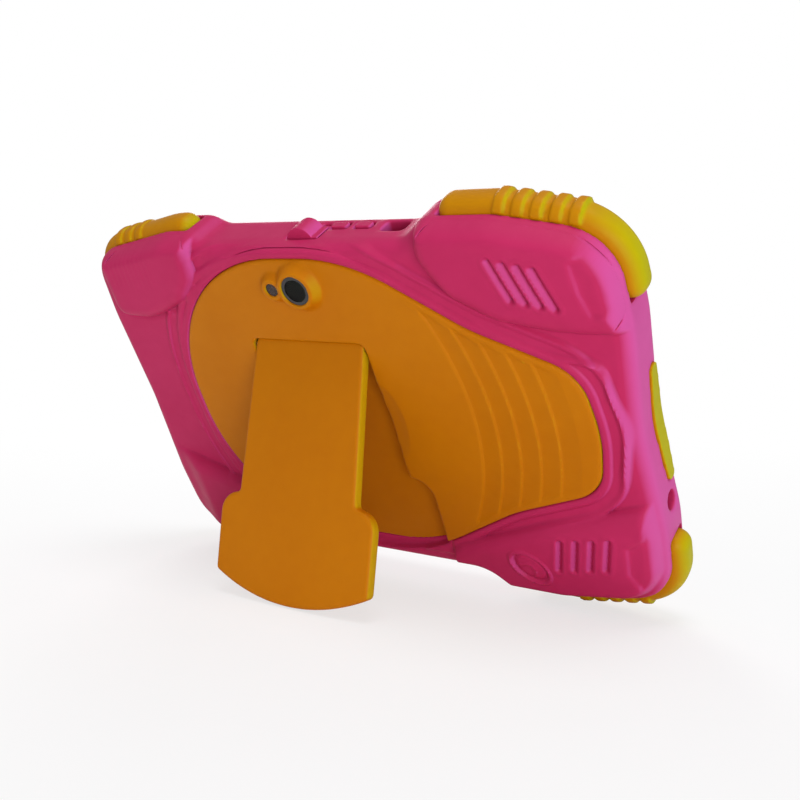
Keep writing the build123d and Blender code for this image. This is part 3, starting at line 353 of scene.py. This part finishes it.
def soft_copy(node, name):
    """Copy of a node's mesh, merged, in the case's frame and in millimetres."""
    mesh = nodes[node].data.copy()
    piece = bpy.data.objects.new(name, mesh)
    scene.collection.objects.link(piece)
    mesh.transform(case_matrix.inverted())
    only(piece)
    bpy.ops.object.mode_set(mode="EDIT")
    bpy.ops.mesh.select_all(action="SELECT")
    bpy.ops.mesh.remove_doubles(threshold=merge_distance)
    bpy.ops.object.mode_set(mode="OBJECT")
    return piece


def moulded(node, name, mould):
    """Soft moulded form of a node: its corners run together as they do in a mould."""
    piece = soft_copy(node, name)
    apply_modifier(piece, "REMESH", mode="VOXEL", voxel_size=mould["voxel"])
    smooth(piece, mould["smoothing"])
    return piece


def thin_out(obj, mould):
    """Brings a mesh down to about the number of triangles that its mould names."""
    faces = sum(len(polygon.vertices) - 2 for polygon in obj.data.polygons)
    if faces > mould["triangles"]:
        apply_modifier(obj, "DECIMATE", ratio=mould["triangles"] / faces)


def read_mesh(obj):
    """Points and normals of a mesh."""
    count = len(obj.data.vertices)
    points = np.empty(count * 3)
    normals = np.empty(count * 3)
    obj.data.vertices.foreach_get("co", points)
    obj.data.vertex_normals.foreach_get("vector", normals)
    return points.reshape(-1, 3), normals.reshape(-1, 3)


def write_mesh(obj, points):
    """Moves a mesh's points to new places."""
    obj.data.vertices.foreach_set("co", points.ravel())
    obj.data.update()


def finish_piece(obj, body, material, replaced):
    """Sets a piece made in the case's frame in its place, with its finish and body."""
    obj.data.transform(case_matrix)
    obj.data.materials.clear()
    obj.data.materials.append(material)
    only(obj)
    bpy.ops.object.shade_smooth_by_angle(angle=radians(shade_angle))
    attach(obj, body)
    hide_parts(*replaced)


# ------------------------------------------------------ shader tree helpers
def srgb(red, green, blue):
    """Linear colour from the values a colour card gives."""
    def linear(value):
        value = value / 255
        return value / 12.92 if value <= 0.04045 else ((value + 0.055) / 1.055) ** 2.4
    return (linear(red), linear(green), linear(blue), 1.0)


def shade(colour, share):
    """A share of a colour, still opaque."""
    return tuple(share * value for value in colour[:3]) + (1.0,)


def feed(tree, socket, value):
    """Links a socket to an output, or gives it a plain value."""
    if isinstance(value, bpy.types.NodeSocket):
        tree.links.new(value, socket)
    else:
        socket.default_value = value


def maths(tree, operation, first, second=None):
    """One step of arithmetic on outputs and plain values."""
    node = tree.nodes.new("ShaderNodeMath")
    node.operation = operation
    feed(tree, node.inputs[0], first)
    if second is not None:
        feed(tree, node.inputs[1], second)
    return node.outputs[0]


def vector_maths(tree, operation, first, second=None):
    """One step of arithmetic on vectors; gives the node."""
    node = tree.nodes.new("ShaderNodeVectorMath")
    node.operation = operation
    feed(tree, node.inputs[0], first)
    if second is not None:
        feed(tree, node.inputs[1], tuple(second))
    return node


def noise(tree, vector, scale, detail, roughness=0.5):
    """Cloudy pattern of a scale and detail."""
    node = tree.nodes.new("ShaderNodeTexNoise")
    node.inputs["Detail"].default_value = detail
    node.inputs["Roughness"].default_value = roughness
    feed(tree, node.inputs["Scale"], scale)
    tree.links.new(vector, node.inputs["Vector"])
    return node.outputs["Fac"]


def mix_colour(tree, share, first, second):
    """The first colour, with a share of the second over it."""
    node = tree.nodes.new("ShaderNodeMix")
    node.data_type = "RGBA"
    feed(tree, node.inputs[0], share)
    feed(tree, node.inputs[6], first)
    feed(tree, node.inputs[7], second)
    return node.outputs[2]


def span(tree, value, low, high, to_low=0.0, to_high=1.0):
    """Stretches the values between two limits over two others, and stops there."""
    node = tree.nodes.new("ShaderNodeMapRange")
    tree.links.new(value, node.inputs["Value"])
    node.inputs["From Min"].default_value = low
    node.inputs["From Max"].default_value = high
    node.inputs["To Min"].default_value = to_low
    node.inputs["To Max"].default_value = to_high
    return node.outputs["Result"]


def facing(tree, axis):
    """How squarely a surface faces along one of the scene's axes."""
    geometry = tree.nodes.new("ShaderNodeNewGeometry")
    parts = tree.nodes.new("ShaderNodeSeparateXYZ")
    tree.links.new(geometry.outputs["Normal"], parts.inputs[0])
    return parts.outputs[axis]


def along(tree, place, direction, start):
    """How far a point lies from a start along a direction, in millimetres."""
    shift = vector_maths(tree, "SUBTRACT", place, start)
    dot = vector_maths(tree, "DOT_PRODUCT", shift.outputs[0], direction)
    return maths(tree, "MULTIPLY", dot.outputs["Value"], 1.0 / MM)


def new_material(name):
    """Bare material, with its tree, its shader and the place each point has on the object."""
    material = bpy.data.materials.new(name)
    material.use_nodes = True
    tree = material.node_tree
    place = tree.nodes.new("ShaderNodeTexCoord").outputs["Object"]
    return material, tree, tree.nodes["Principled BSDF"], place


def add_relief(tree, shader, height, depth):
    """Bump of a depth in millimetres."""
    relief = tree.nodes.new("ShaderNodeBump")
    relief.inputs["Strength"].default_value = 1.0
    relief.inputs["Distance"].default_value = depth * MM
    tree.links.new(height, relief.inputs["Height"])
    tree.links.new(relief.outputs["Normal"], shader.inputs["Normal"])


# ------------------------------------------------------ effects they share
def new_group(name, inputs, outputs):
    """Empty node group with named inputs and outputs."""
    group = bpy.data.node_groups.new(name, "ShaderNodeTree")
    group.interface.new_socket(name="Vector", in_out="INPUT", socket_type="NodeSocketVector")
    for label, default in inputs.items():
        socket = group.interface.new_socket(name=label, in_out="INPUT", socket_type="NodeSocketFloat")
        socket.default_value = default
    for label in outputs:
        group.interface.new_socket(name=label, in_out="OUTPUT", socket_type="NodeSocketFloat")
    return group, group.nodes.new("NodeGroupInput"), group.nodes.new("NodeGroupOutput")


def make_grain():
    """Fine moulded skin: a tone that drifts over the piece and a tiny height."""
    group, start, end = new_group("moulded_skin", {"Grain": 3000.0, "Drift": 25.0}, ["Tone", "Height"])
    place = start.outputs["Vector"]
    drift = start.outputs["Drift"]
    coarse = noise(group, place, drift, 3.0)
    middle = noise(group, place, maths(group, "MULTIPLY", drift, 9.0), 2.0)
    fine = noise(group, place, start.outputs["Grain"], 2.0, 0.6)
    tone = maths(group, "ADD", maths(group, "MULTIPLY", coarse, 0.7), maths(group, "MULTIPLY", middle, 0.3))
    group.links.new(tone, end.inputs["Tone"])
    group.links.new(fine, end.inputs["Height"])
    return group


def make_edges():
    """Masks for proud edges, broken up so that wear is uneven, which carry wear and a painted highlight, and
    for hollows, which carry painted shade.
    """
    group, start, end = new_group("proud_edges", {"Start": 0.52}, ["Edge", "Hollow_Shade"])
    point = group.nodes.new("ShaderNodeNewGeometry").outputs["Pointiness"]
    broken = span(group, noise(group, start.outputs["Vector"], 120.0, 3.0), 0.3, 0.7, 0.45, 1.0)
    proud = maths(group, "SUBTRACT", point, start.outputs["Start"])
    edge = maths(group, "MULTIPLY", span(group, proud, 0.0, 0.06), broken)
    # Low pointiness marks hollows and creases, which the finishes darken as painted shade.
    hollow = span(group, point, 0.49, 0.42)
    group.links.new(edge, end.inputs["Edge"])
    group.links.new(hollow, end.inputs["Hollow_Shade"])
    return group


def make_dust():
    """Thin dust that settles on faces that look up."""
    group, start, end = new_group("settled_dust", {}, ["Dust"])
    up = span(group, facing(group, "Z"), 0.55, 1.0)
    specks = span(group, noise(group, start.outputs["Vector"], 500.0, 4.0, 0.7), 0.5, 0.75)
    group.links.new(maths(group, "MULTIPLY", up, specks), end.inputs["Dust"])
    return group


def place_group(tree, group, vector, **values):
    """Puts a shared effect into a material, with its own values."""
    node = tree.nodes.new("ShaderNodeGroup")
    node.node_tree = group
    tree.links.new(vector, node.inputs["Vector"])
    for name, value in values.items():
        node.inputs[name].default_value = value
    return node


moulded_skin = make_grain()
proud_edges = make_edges()
settled_dust = make_dust()
dust_grey = srgb(214, 205, 200)
tone_range = (0.3, 0.7)


# -------------------------------------------------------------- finishes
def finish_material(name, colour, dark, edge_wear_highlight_colour, rough, rough_spread=0.08, grain=3000.0, bump=0.02,
                    edge_wear_highlight_share=0.5, hollow_shade_share=0.35, dust=0.12, metal=0.0, specular=0.3, painted_side_light=None,
                    side_light_start=0.35, coat=0.0, coat_rough=0.2):
    """Moulded or metal finish with drifting tone, grain and a little dust; its edge colour is wear with a
    painted highlight, its hollows take painted shade, and faces turned to one side can take a painted side
    light.
    """
    material, tree, shader, place = new_material(name)
    skin = place_group(tree, moulded_skin, place, Grain=grain)
    edges = place_group(tree, proud_edges, place)
    dusty = place_group(tree, settled_dust, place)
    body = mix_colour(tree, span(tree, skin.outputs["Tone"], *tone_range), dark, colour)
    # Painted side light: faces turned towards the scene's +X side take a lighter colour of another hue, as
    # if a lamp on that side lit them.
    if painted_side_light:
        body = mix_colour(tree, span(tree, facing(tree, "X"), side_light_start, 0.97), body, painted_side_light)
    # Painted shade: points in hollows and creases darken toward a deep share of the dark tone, where light
    # would not reach.
    hollow_shade = maths(tree, "MULTIPLY", edges.outputs["Hollow_Shade"], hollow_shade_share)
    body = mix_colour(tree, hollow_shade, body, shade(dark, 0.45))
    # Proud edges turn a lighter colour: partly uneven wear, partly a painted highlight along the edges.
    worn_and_highlit_edges = maths(tree, "MULTIPLY", edges.outputs["Edge"], edge_wear_highlight_share)
    body = mix_colour(tree, worn_and_highlit_edges, body, edge_wear_highlight_colour)
    dusted = maths(tree, "MULTIPLY", dusty.outputs["Dust"], dust)
    body = mix_colour(tree, dusted, body, dust_grey)
    tree.links.new(body, shader.inputs["Base Color"])
    gloss = span(tree, skin.outputs["Tone"], 0.25, 0.75, rough + rough_spread, rough - rough_spread)
    gloss = maths(tree, "ADD", gloss, maths(tree, "MULTIPLY", dusty.outputs["Dust"], 0.2))
    tree.links.new(gloss, shader.inputs["Roughness"])
    shader.inputs["Metallic"].default_value = metal
    shader.inputs["Specular IOR Level"].default_value = specular
    shader.inputs["Coat Weight"].default_value = coat
    shader.inputs["Coat Roughness"].default_value = coat_rough
    add_relief(tree, shader, skin.outputs["Height"], bump)
    return material


def screen_material():
    """Dark cover glass: a black border, the faintly lighter picture and the front camera's window."""
    material = finish_material("screen_glass", (0.006, 0.0065, 0.008, 1), (0.004, 0.0045, 0.005, 1),
                               (0.03, 0.03, 0.03, 1), 0.07, rough_spread=0.02, bump=0.0006, coat=0.6,
                               coat_rough=0.03, edge_wear_highlight_share=0.1, hollow_shade_share=0.0, dust=0.015, specular=0.5)
    tree = material.node_tree
    shader = tree.nodes["Principled BSDF"]
    border = shader.inputs["Base Color"].links[0].from_socket
    place = tree.nodes.new("ShaderNodeTexCoord").outputs["Object"]
    across = maths(tree, "ABSOLUTE", along(tree, place, case_right, case_origin))
    upwards = maths(tree, "ABSOLUTE", along(tree, place, case_up, case_origin))
    picture = maths(tree, "MULTIPLY", maths(tree, "LESS_THAN", across, picture_half[0]),
                    maths(tree, "LESS_THAN", upwards, picture_half[1]))
    body = mix_colour(tree, picture, border, (0.017, 0.019, 0.026, 1))
    middle = from_case((camera_window[0], camera_window[1], 0.0))
    side = along(tree, place, case_right, middle)
    height = along(tree, place, case_up, middle)
    square = maths(tree, "ADD", maths(tree, "MULTIPLY", side, side), maths(tree, "MULTIPLY", height, height))
    gap = maths(tree, "SQRT", square)
    rim = maths(tree, "MULTIPLY", maths(tree, "LESS_THAN", gap, window_rim[1]),
                maths(tree, "GREATER_THAN", gap, window_rim[0]))
    body = mix_colour(tree, rim, body, (0.06, 0.06, 0.065, 1))
    body = mix_colour(tree, maths(tree, "LESS_THAN", gap, window_pupil), body, (0.012, 0.016, 0.05, 1))
    tree.links.new(body, shader.inputs["Base Color"])
    return material


def clear_material(name, colour, rough, ior=1.5):
    """Clear plastic or coated glass."""
    material, tree, shader, place = new_material(name)
    skin = place_group(tree, moulded_skin, place, Grain=2500.0, Drift=60.0)
    tone = skin.outputs["Tone"]
    body = mix_colour(tree, span(tree, tone, *tone_range), colour, shade(colour, 0.9))
    tree.links.new(body, shader.inputs["Base Color"])
    tree.links.new(span(tree, tone, *tone_range, rough, rough + 0.03), shader.inputs["Roughness"])
    shader.inputs["Transmission Weight"].default_value = 1.0
    shader.inputs["IOR"].default_value = ior
    add_relief(tree, shader, skin.outputs["Height"], 0.001)
    return material


# Each finish: its colour, its darker tone, its edge colour (wear with a painted highlight) and its
# roughness. Some also give how much painted shade their hollows take and a painted side light for faces
# turned to +X.
pink_silicone = finish_material(
    "pink_silicone", srgb(197, 42, 97), srgb(189, 38, 90), srgb(206, 62, 124), 0.55, bump=0.018,
    edge_wear_highlight_share=0.3, hollow_shade_share=0.5, dust=0.03, specular=0.15, painted_side_light=srgb(214, 84, 160))
yellow_silicone = finish_material(
    "yellow_silicone", srgb(198, 134, 0), srgb(192, 126, 0), srgb(196, 178, 0), 0.5, bump=0.018,
    edge_wear_highlight_share=0.5, hollow_shade_share=0.5, dust=0.02, specular=0.1, painted_side_light=srgb(186, 178, 0),
    side_light_start=0.22)
amber_plastic = finish_material(
    "amber_plastic", srgb(201, 121, 0), srgb(194, 113, 0), srgb(204, 156, 10), 0.5, bump=0.012,
    edge_wear_highlight_share=0.6, hollow_shade_share=0.35, dust=0.02, specular=0.1, painted_side_light=srgb(200, 162, 10),
    side_light_start=0.6)
pin_steel = finish_material(
    "pin_steel", (0.62, 0.62, 0.63, 1), (0.5, 0.5, 0.51, 1), (0.8, 0.8, 0.8, 1), 0.28, grain=6000.0,
    metal=1.0, bump=0.004, dust=0.02)
black_gloss = finish_material(
    "black_gloss", (0.012, 0.012, 0.013, 1), (0.006, 0.006, 0.006, 1), (0.06, 0.06, 0.06, 1), 0.14,
    bump=0.002, coat=0.5, dust=0.03, edge_wear_highlight_share=0.25)
cover_black = finish_material(
    "cover_black", (0.03, 0.03, 0.033, 1), (0.022, 0.022, 0.024, 1), (0.09, 0.09, 0.09, 1), 0.5,
    bump=0.01, edge_wear_highlight_share=0.3)
module_black = finish_material(
    "module_black", (0.045, 0.045, 0.05, 1), (0.03, 0.03, 0.032, 1), (0.12, 0.12, 0.12, 1), 0.55,
    edge_wear_highlight_share=0.2)
panel_silver = finish_material(
    "panel_silver", (0.66, 0.67, 0.69, 1), (0.56, 0.57, 0.59, 1), (0.8, 0.8, 0.8, 1), 0.36, metal=1.0,
    bump=0.003, dust=0.03)
shield_tin = finish_material(
    "shield_tin", (0.64, 0.64, 0.62, 1), (0.52, 0.52, 0.5, 1), (0.8, 0.8, 0.78, 1), 0.34, metal=1.0,
    bump=0.004, dust=0.03)
board_green = finish_material(
    "board_green", (0.012, 0.13, 0.045, 1), (0.01, 0.09, 0.03, 1), (0.1, 0.3, 0.14, 1), 0.35,
    bump=0.004, coat=0.3)
lead_red = finish_material(
    "lead_red", (0.42, 0.02, 0.016, 1), (0.34, 0.015, 0.012, 1), (0.5, 0.06, 0.05, 1), 0.4)
film_amber = finish_material(
    "film_amber", (0.5, 0.2, 0.03, 1), (0.4, 0.15, 0.02, 1), (0.6, 0.3, 0.08, 1), 0.3, coat=0.3)
screen_glass = screen_material()
lens_glass = clear_material("lens_glass", (0.16, 0.24, 0.12, 1.0), 0.02, ior=1.22)
light_pipe = clear_material("light_pipe", (0.80, 0.36, 0.20, 1.0), 0.18)

node_finishes = [
    (pink_silicone, ["bumper_case", "power_cover", "volume_up_cover", "volume_down_cover"]),
    (yellow_silicone, ["corner_bumper_tr", "corner_bumper_tl", "corner_bumper_br", "corner_bumper_bl",
                       "side_strip_right", "side_strip_left"]),
    (amber_plastic, ["kickstand", "back_plate"]),
    (pin_steel, ["hinge_pin", "board_screws"]),
    (black_gloss, ["lens_ring", "power_key", "volume_up_key", "volume_down_key"]),
    (cover_black, ["tablet_cover", "screen_frame"]),
    (module_black, ["rear_camera", "front_camera", "speakers", "headphone_jack", "key_switches",
                    "microphone"]),
    (panel_silver, ["display_panel", "backlight", "battery"]),
    (shield_tin, ["shield_cans", "usb_port", "card_slot"]),
    (board_green, ["main_board"]),
    (lead_red, ["battery_leads"]),
    (film_amber, ["flash_led", "display_ribbon", "camera_ribbon", "antenna"]),
    (screen_glass, ["touch_glass"]),
    (lens_glass, ["lens_window"]),
    (light_pipe, ["flash_lens"]),
]
for finish, names in node_finishes:
    for node_name in names:
        nodes[node_name].data.materials.clear()
        nodes[node_name].data.materials.append(finish)


# ------------------------------------------------------ the case's back
def lobes_raised(flat, lobe_edge):
    """How far each point is up on a lobe: 0 in the valley, 1 on a lobe, eased in between."""
    raised = np.zeros(len(flat))
    flank = lobe_flank + lobe_flank_spread * ramp(*lobe_spread_zone, flat[:, 0])
    for corners, rounds in lobe_plans:
        inside = distance_inside(rounded(corners, rounds), flat)
        raised = np.maximum(raised, 1 - round_edge(inside, flank) / flank)
    lower_left = ramp(*lower_left_across, flat[:, 0]) * ramp(*lower_left_upwards, flat[:, 1])
    raised = raised * (1 - lower_left_fade * lower_left)
    return np.minimum(raised, 1 - round_edge(lobe_edge, lobe_round) / lobe_round)


def lobe_crown(lobe_edge):
    """Height of a lobe's rounded top, with a slight dip behind its edge."""
    side = lobe_top - valley + case_round
    crown = lobe_top - side * round_edge(lobe_edge + crown_overhang, lobe_round) / lobe_round
    return crown - crown_dip * ramp(*crown_dip_start, lobe_edge) * (1 - ramp(*crown_dip_end, lobe_edge))


def line_relief(points, flat, rise, width, fade_in, fade_out):
    """Ridge along an eased line, which fades out towards both its ends."""
    gap, place = distance_to_line(eased(points), flat)
    return rise * ridge(gap, 0.0, width) * ramp(*fade_in, place) * ramp(*fade_out, place)


def valley_height(flat, inside_case, outside_pear, raised):
    """Height between the lobes: the raised field round the pear, its ridges and the left groove."""
    field = field_rise * ramp(*field_edge, outside_pear)
    in_nose_field = distance_inside(np.array(nose_field), flat)
    field = np.maximum(field, field_rise * ramp(*nose_field_edge, in_nose_field))
    pear_ridge = pear_ridge_rise * ridge(outside_pear, pear_ridge_place, pear_ridge_width)
    pear_ridge = pear_ridge * (1 - ramp(*pear_ridge_end, raised))
    nose_ridge = line_relief(nose_crease, flat, nose_ridge_rise, nose_ridge_width,
                             nose_ridge_fade_in, nose_ridge_fade_out)
    left_groove = line_relief(left_crease, flat, left_groove_depth, left_groove_width,
                              left_groove_fade_in, left_groove_fade_out)
    return valley + field + pear_ridge + nose_ridge - left_groove - round_edge(inside_case, case_round)


def facet_relief(flat, lobe_edge):
    """Shallow facets pressed into the tips of the right-hand lobes."""
    relief = np.zeros(len(flat))
    for corners in corner_facets:
        inside = distance_inside(np.array(corners), flat)
        relief -= facet_depth * ramp(*facet_slope, inside) * ramp(*facet_clear_of_edge, lobe_edge)
    return relief


def vent_relief(flat):
    """Four short lipped grooves on each right-hand lobe."""
    relief = np.zeros(len(flat))
    for index in range(vent_count):
        for first, step, lean in vent_rows:
            x = first[0] + index * step[0]
            y = first[1] + index * step[1]
            ends = np.array(((x, y), (x + lean, y - vent_length)))
            gap = distance_to_line(ends, flat)[0]
            relief += vent_lip_rise * ridge(gap, vent_lip_place, vent_lip_width)
            relief -= vent_depth * ridge(gap, 0.0, vent_half_width)
    return relief


def badge_relief(flat):
    """Bare oval badge: a raised rim with one plain arc inside it."""
    turn = np.array(((cos(badge_turn), -sin(badge_turn)), (sin(badge_turn), cos(badge_turn))))
    across, upwards = ((flat - badge_middle) @ turn).T
    reach = np.hypot(across / badge_half[0], upwards / badge_half[1])
    hollow = ridge(reach, badge_hollow_place, badge_hollow_width)
    rim = ridge(reach, 1.0, badge_rim_width) - badge_hollow_share * hollow
    bow = np.hypot(across / badge_arc_squeeze, upwards - badge_arc_base)
    arc = ridge(bow, badge_arc_radius, badge_arc_width)
    arc = arc * ramp(*badge_arc_start, upwards) * (reach < badge_arc_reach)
    return badge_rim_rise * rim + badge_arc_rise * arc


def fine_ribs(flat, raised):
    """Faint upright ribs on the upper left lobe."""
    ribs = np.sin(2 * pi * flat[:, 0] / fine_rib_pitch)
    ribs = ribs * ramp(*fine_ribs_left, flat[:, 0]) * ramp(*fine_ribs_right, flat[:, 0])
    return fine_rib_depth * ribs * ramp(*fine_ribs_bottom, flat[:, 1]) * raised


def back_height(flat, inside_case, outside_pear):
    """Height of the case's back, with its four lobes and their relief."""
    right_end = ramp(*right_end_across, flat[:, 0]) * ramp(*right_end_upwards, flat[:, 1])
    inset = np.where(flat[:, 1] > 0, upper_inset, lower_inset - lower_inset_ease * right_end)
    lobe_edge = inside_case - inset
    raised = lobes_raised(flat, lobe_edge)
    height = valley_height(flat, inside_case, outside_pear, raised)
    height = height + raised * np.maximum(lobe_crown(lobe_edge) - height, 0.0)
    height = height + facet_relief(flat, lobe_edge) + vent_relief(flat) + badge_relief(flat)
    height = height - fine_ribs(flat, raised)
    lip = valley + pear_lip_rise - round_edge(outside_pear, pear_lip_round)
    lip = lip - pear_lip_fall * ramp(*pear_lip_slope, outside_pear)
    return np.where(outside_pear < pear_lip_slope[1], np.maximum(height, lip), height)


def clear_of_foot(flat):
    """0 where the folded stand's foot lies on the case, easing to 1 around it."""
    beside = ramp(*foot_sides, np.abs(flat[:, 0] - hinge_place[0]) - foot_half_width)
    above = ramp(*above_foot, flat[:, 1])
    below = ramp(*below_foot, flat[:, 1])
    return np.maximum(beside, np.maximum(above, below))


def shape_case(piece):
    """Gives the case's back its smooth moulded relief."""
    points, normals = read_mesh(piece)
    outside_pear = -distance_inside(pear_outline, points[:, :2])
    on_back = (normals[:, 2] > lowered_facing[0]) & (points[:, 2] > relief_level[0])
    chosen = np.nonzero(on_back & (outside_pear > relief_round_pear[0]))[0]
    flat = points[chosen, :2]
    level = points[chosen, 2]
    facing_out = normals[chosen, 2]
    outside_pear = outside_pear[chosen]
    inside_case = distance_inside(case_outline, flat)
    target = back_height(flat, inside_case, outside_pear)
    lowered = ramp(*lowered_facing, facing_out)
    lifted = np.maximum(ramp(*lifted_facing, facing_out), ramp(*relief_inside_case, inside_case))
    share = np.where(level > target, lowered, lifted)
    share = share * ramp(*relief_level, level) * ramp(*relief_round_pear, outside_pear)
    share = share * clear_of_foot(flat)
    points[chosen, 2] += share * (target - level)
    write_mesh(piece, points)
    smooth(piece, relief_smoothing)


# ------------------------------------------------------ the case's pieces
def make_silicone_case():
    """The soft case itself."""
    piece = moulded("bumper_case", "silicone_case", case_mould)
    shape_case(piece)
    thin_out(piece, case_mould)
    finish_piece(piece, "case", pink_silicone, ["bumper_case"])


def make_ribbed_bumpers():
    """The ribbed bumper on each corner."""
    for corner in ("tr", "tl", "br", "bl"):
        bumper = moulded("corner_bumper_" + corner, "ribbed_bumper_" + corner, bumper_mould)
        thin_out(bumper, bumper_mould)
        finish_piece(bumper, "case", yellow_silicone, ["corner_bumper_" + corner])


def make_grip_strips():
    """The grip strip at each side."""
    for side in ("right", "left"):
        strip = moulded("side_strip_" + side, "grip_strip_" + side, strip_mould)
        thin_out(strip, strip_mould)
        finish_piece(strip, "case", yellow_silicone, ["side_strip_" + side])


def make_soft_covers():
    """The soft cover over each of the three buttons, drawn in a little from its opening."""
    for cover, body in (("power_cover", "power_button"), ("volume_up_cover", "volume_up"),
                        ("volume_down_cover", "volume_down")):
        pad = moulded(cover, "soft_" + cover, cover_mould)
        points, normals = read_mesh(pad)
        write_mesh(pad, points - cover_draw_in * normals * (1, 0, 1))
        thin_out(pad, cover_mould)
        finish_piece(pad, body, pink_silicone, [cover])


def shape_plate(piece):
    """Turns the plain ribs on the pear's nose into overlapping curved steps."""
    points, normals = read_mesh(piece)
    inside = distance_inside(pear_outline, points[:, :2])
    sweep = wave_first - wave_radius + np.sqrt(wave_radius ** 2 - points[:, 1] ** 2)
    phase = (points[:, 0] - sweep) / wave_pitch
    front_share = 1 - wave_slope_share
    turn = phase - np.floor(phase)
    drop = np.where(turn < wave_slope_share, 1 - (turn / wave_slope_share) ** wave_slope_curve,
                    ramp(wave_slope_share, 1.0, turn))
    drop = np.where(phase < 0, ramp(-front_share, 0.0, phase), drop)
    drop = np.where(phase > wave_count - front_share, 0.0, drop)
    share = ramp(*plate_facing_out, normals[:, 2]) * ramp(*plate_top, points[:, 2])
    share = share * ((phase > -wave_lead_in) & (phase < wave_count)) * ramp(*wave_inside_pear, inside)
    points[:, 2] += share * (plate_face - wave_depth * drop - points[:, 2])
    write_mesh(piece, points)
    smooth(piece, wave_smoothing)


def make_pear_plate():
    """The hard plate let into the case's back."""
    piece = moulded("back_plate", "pear_plate", plate_mould)
    shape_plate(piece)
    thin_out(piece, plate_mould)
    finish_piece(piece, "case", amber_plastic, ["back_plate"])


def make_propped_stand():
    """The fold-out stand."""
    piece = moulded("kickstand", "propped_stand", stand_mould)
    thin_out(piece, stand_mould)
    finish_piece(piece, "stand", amber_plastic, ["kickstand"])


# ------------------------------------------------------ floor, light, camera
floor_size = 6.0
floor_drop = 0.0002
white_zone = (0.12, 0.45)
white_near_object = 0.7
world_strength = 0.43
lens_length = 49.3
plate_middle = np.array((-5.4, 0.0, plate_face))
camera_offset = np.array((210.27, 188.26, 236.08))


def camera_only(tree, share, seen_by_all, seen_by_camera, output):
    """Shows the camera a share of one shader, and everything else the other shader."""
    mixer = tree.nodes.new("ShaderNodeMixShader")
    tree.links.new(share, mixer.inputs[0])
    tree.links.new(seen_by_all.outputs[0], mixer.inputs[1])
    tree.links.new(seen_by_camera.outputs[0], mixer.inputs[2])
    tree.links.new(mixer.outputs[0], tree.nodes[output].inputs["Surface"])


def white_shader(tree, kind):
    """Plain white glow or background at full strength."""
    node = tree.nodes.new(kind)
    node.inputs["Color"].default_value = (1.0, 1.0, 1.0, 1.0)
    node.inputs["Strength"].default_value = 1.0
    return node


def make_floor():
    """Pale floor that shows white to the camera and keeps the shadow."""
    bpy.ops.object.select_all(action="DESELECT")
    bpy.ops.mesh.primitive_plane_add(size=floor_size, location=(0.0, 0.0, -floor_drop))
    floor = bpy.context.active_object
    floor.name = "pale_floor"
    only(floor)
    bpy.ops.object.transform_apply(location=True, rotation=True, scale=True)
    material, tree, shader, place = new_material("pale_floor")
    speckle = mix_colour(tree, noise(tree, place, 40.0, 3.0), (0.93, 0.93, 0.93, 1), (0.96, 0.96, 0.96, 1))
    tree.links.new(speckle, shader.inputs["Base Color"])
    shader.inputs["Roughness"].default_value = 0.9
    shader.inputs["Specular IOR Level"].default_value = 0.1
    distance = vector_maths(tree, "LENGTH", place).outputs["Value"]
    seen = tree.nodes.new("ShaderNodeLightPath").outputs["Is Camera Ray"]
    share = maths(tree, "MULTIPLY", span(tree, distance, *white_zone, white_near_object, 1.0), seen)
    camera_only(tree, share, shader, white_shader(tree, "ShaderNodeEmission"), "Material Output")
    floor.data.materials.append(material)


def make_world(strength):
    """White light all round, and plain white behind the object."""
    world = bpy.data.worlds.new("soft_world")
    scene.world = world
    world.use_nodes = True
    tree = world.node_tree
    glow = tree.nodes["Background"]
    glow.inputs["Color"].default_value = (1.0, 1.0, 1.0, 1.0)
    glow.inputs["Strength"].default_value = strength
    seen = tree.nodes.new("ShaderNodeLightPath").outputs["Is Camera Ray"]
    camera_only(tree, seen, glow, white_shader(tree, "ShaderNodeBackground"), "World Output")


def make_lamp(name, place, aim, size, power, colour=(1.0, 1.0, 1.0)):
    """Round lamp turned towards a point."""
    disk = bpy.data.lights.new(name, "AREA")
    disk.shape = "DISK"
    disk.size = size
    disk.energy = power
    disk.color = colour
    obj = bpy.data.objects.new(name, disk)
    scene.collection.objects.link(obj)
    obj.location = place
    obj.rotation_euler = (Vector(aim) - Vector(place)).to_track_quat("-Z", "Y").to_euler()


def make_camera():
    """Camera behind the case, above it and to its right."""
    view = bpy.data.cameras.new("camera")
    view.lens = lens_length
    view.sensor_width = 36.0
    view.shift_x = 0.0751
    view.shift_y = 0.0162
    view.clip_start = 0.01
    camera = bpy.data.objects.new("camera", view)
    scene.collection.objects.link(camera)
    camera.location = from_case(plate_middle + camera_offset)
    camera.rotation_euler = Euler((radians(83.056), radians(-0.7814), radians(35.2415)))
    scene.camera = camera


make_silicone_case()
make_ribbed_bumpers()
make_grip_strips()
make_soft_covers()
make_pear_plate()
make_propped_stand()
make_floor()
make_world(world_strength)
make_lamp("key_lamp", (0.43, -0.42, 0.01), (0.03, 0.0, 0.06), 0.30, 2.3)
make_lamp("front_lamp", (-0.45, 0.60, 0.35), (0.0, 0.0, 0.07), 0.4, 3.0)
make_lamp("top_lamp", (0.15, -0.15, 0.80), (0.0, 0.0, 0.07), 0.4, 2.4, (0.97, 0.96, 1.0))
make_camera()
scene.view_settings.view_transform = "Standard"
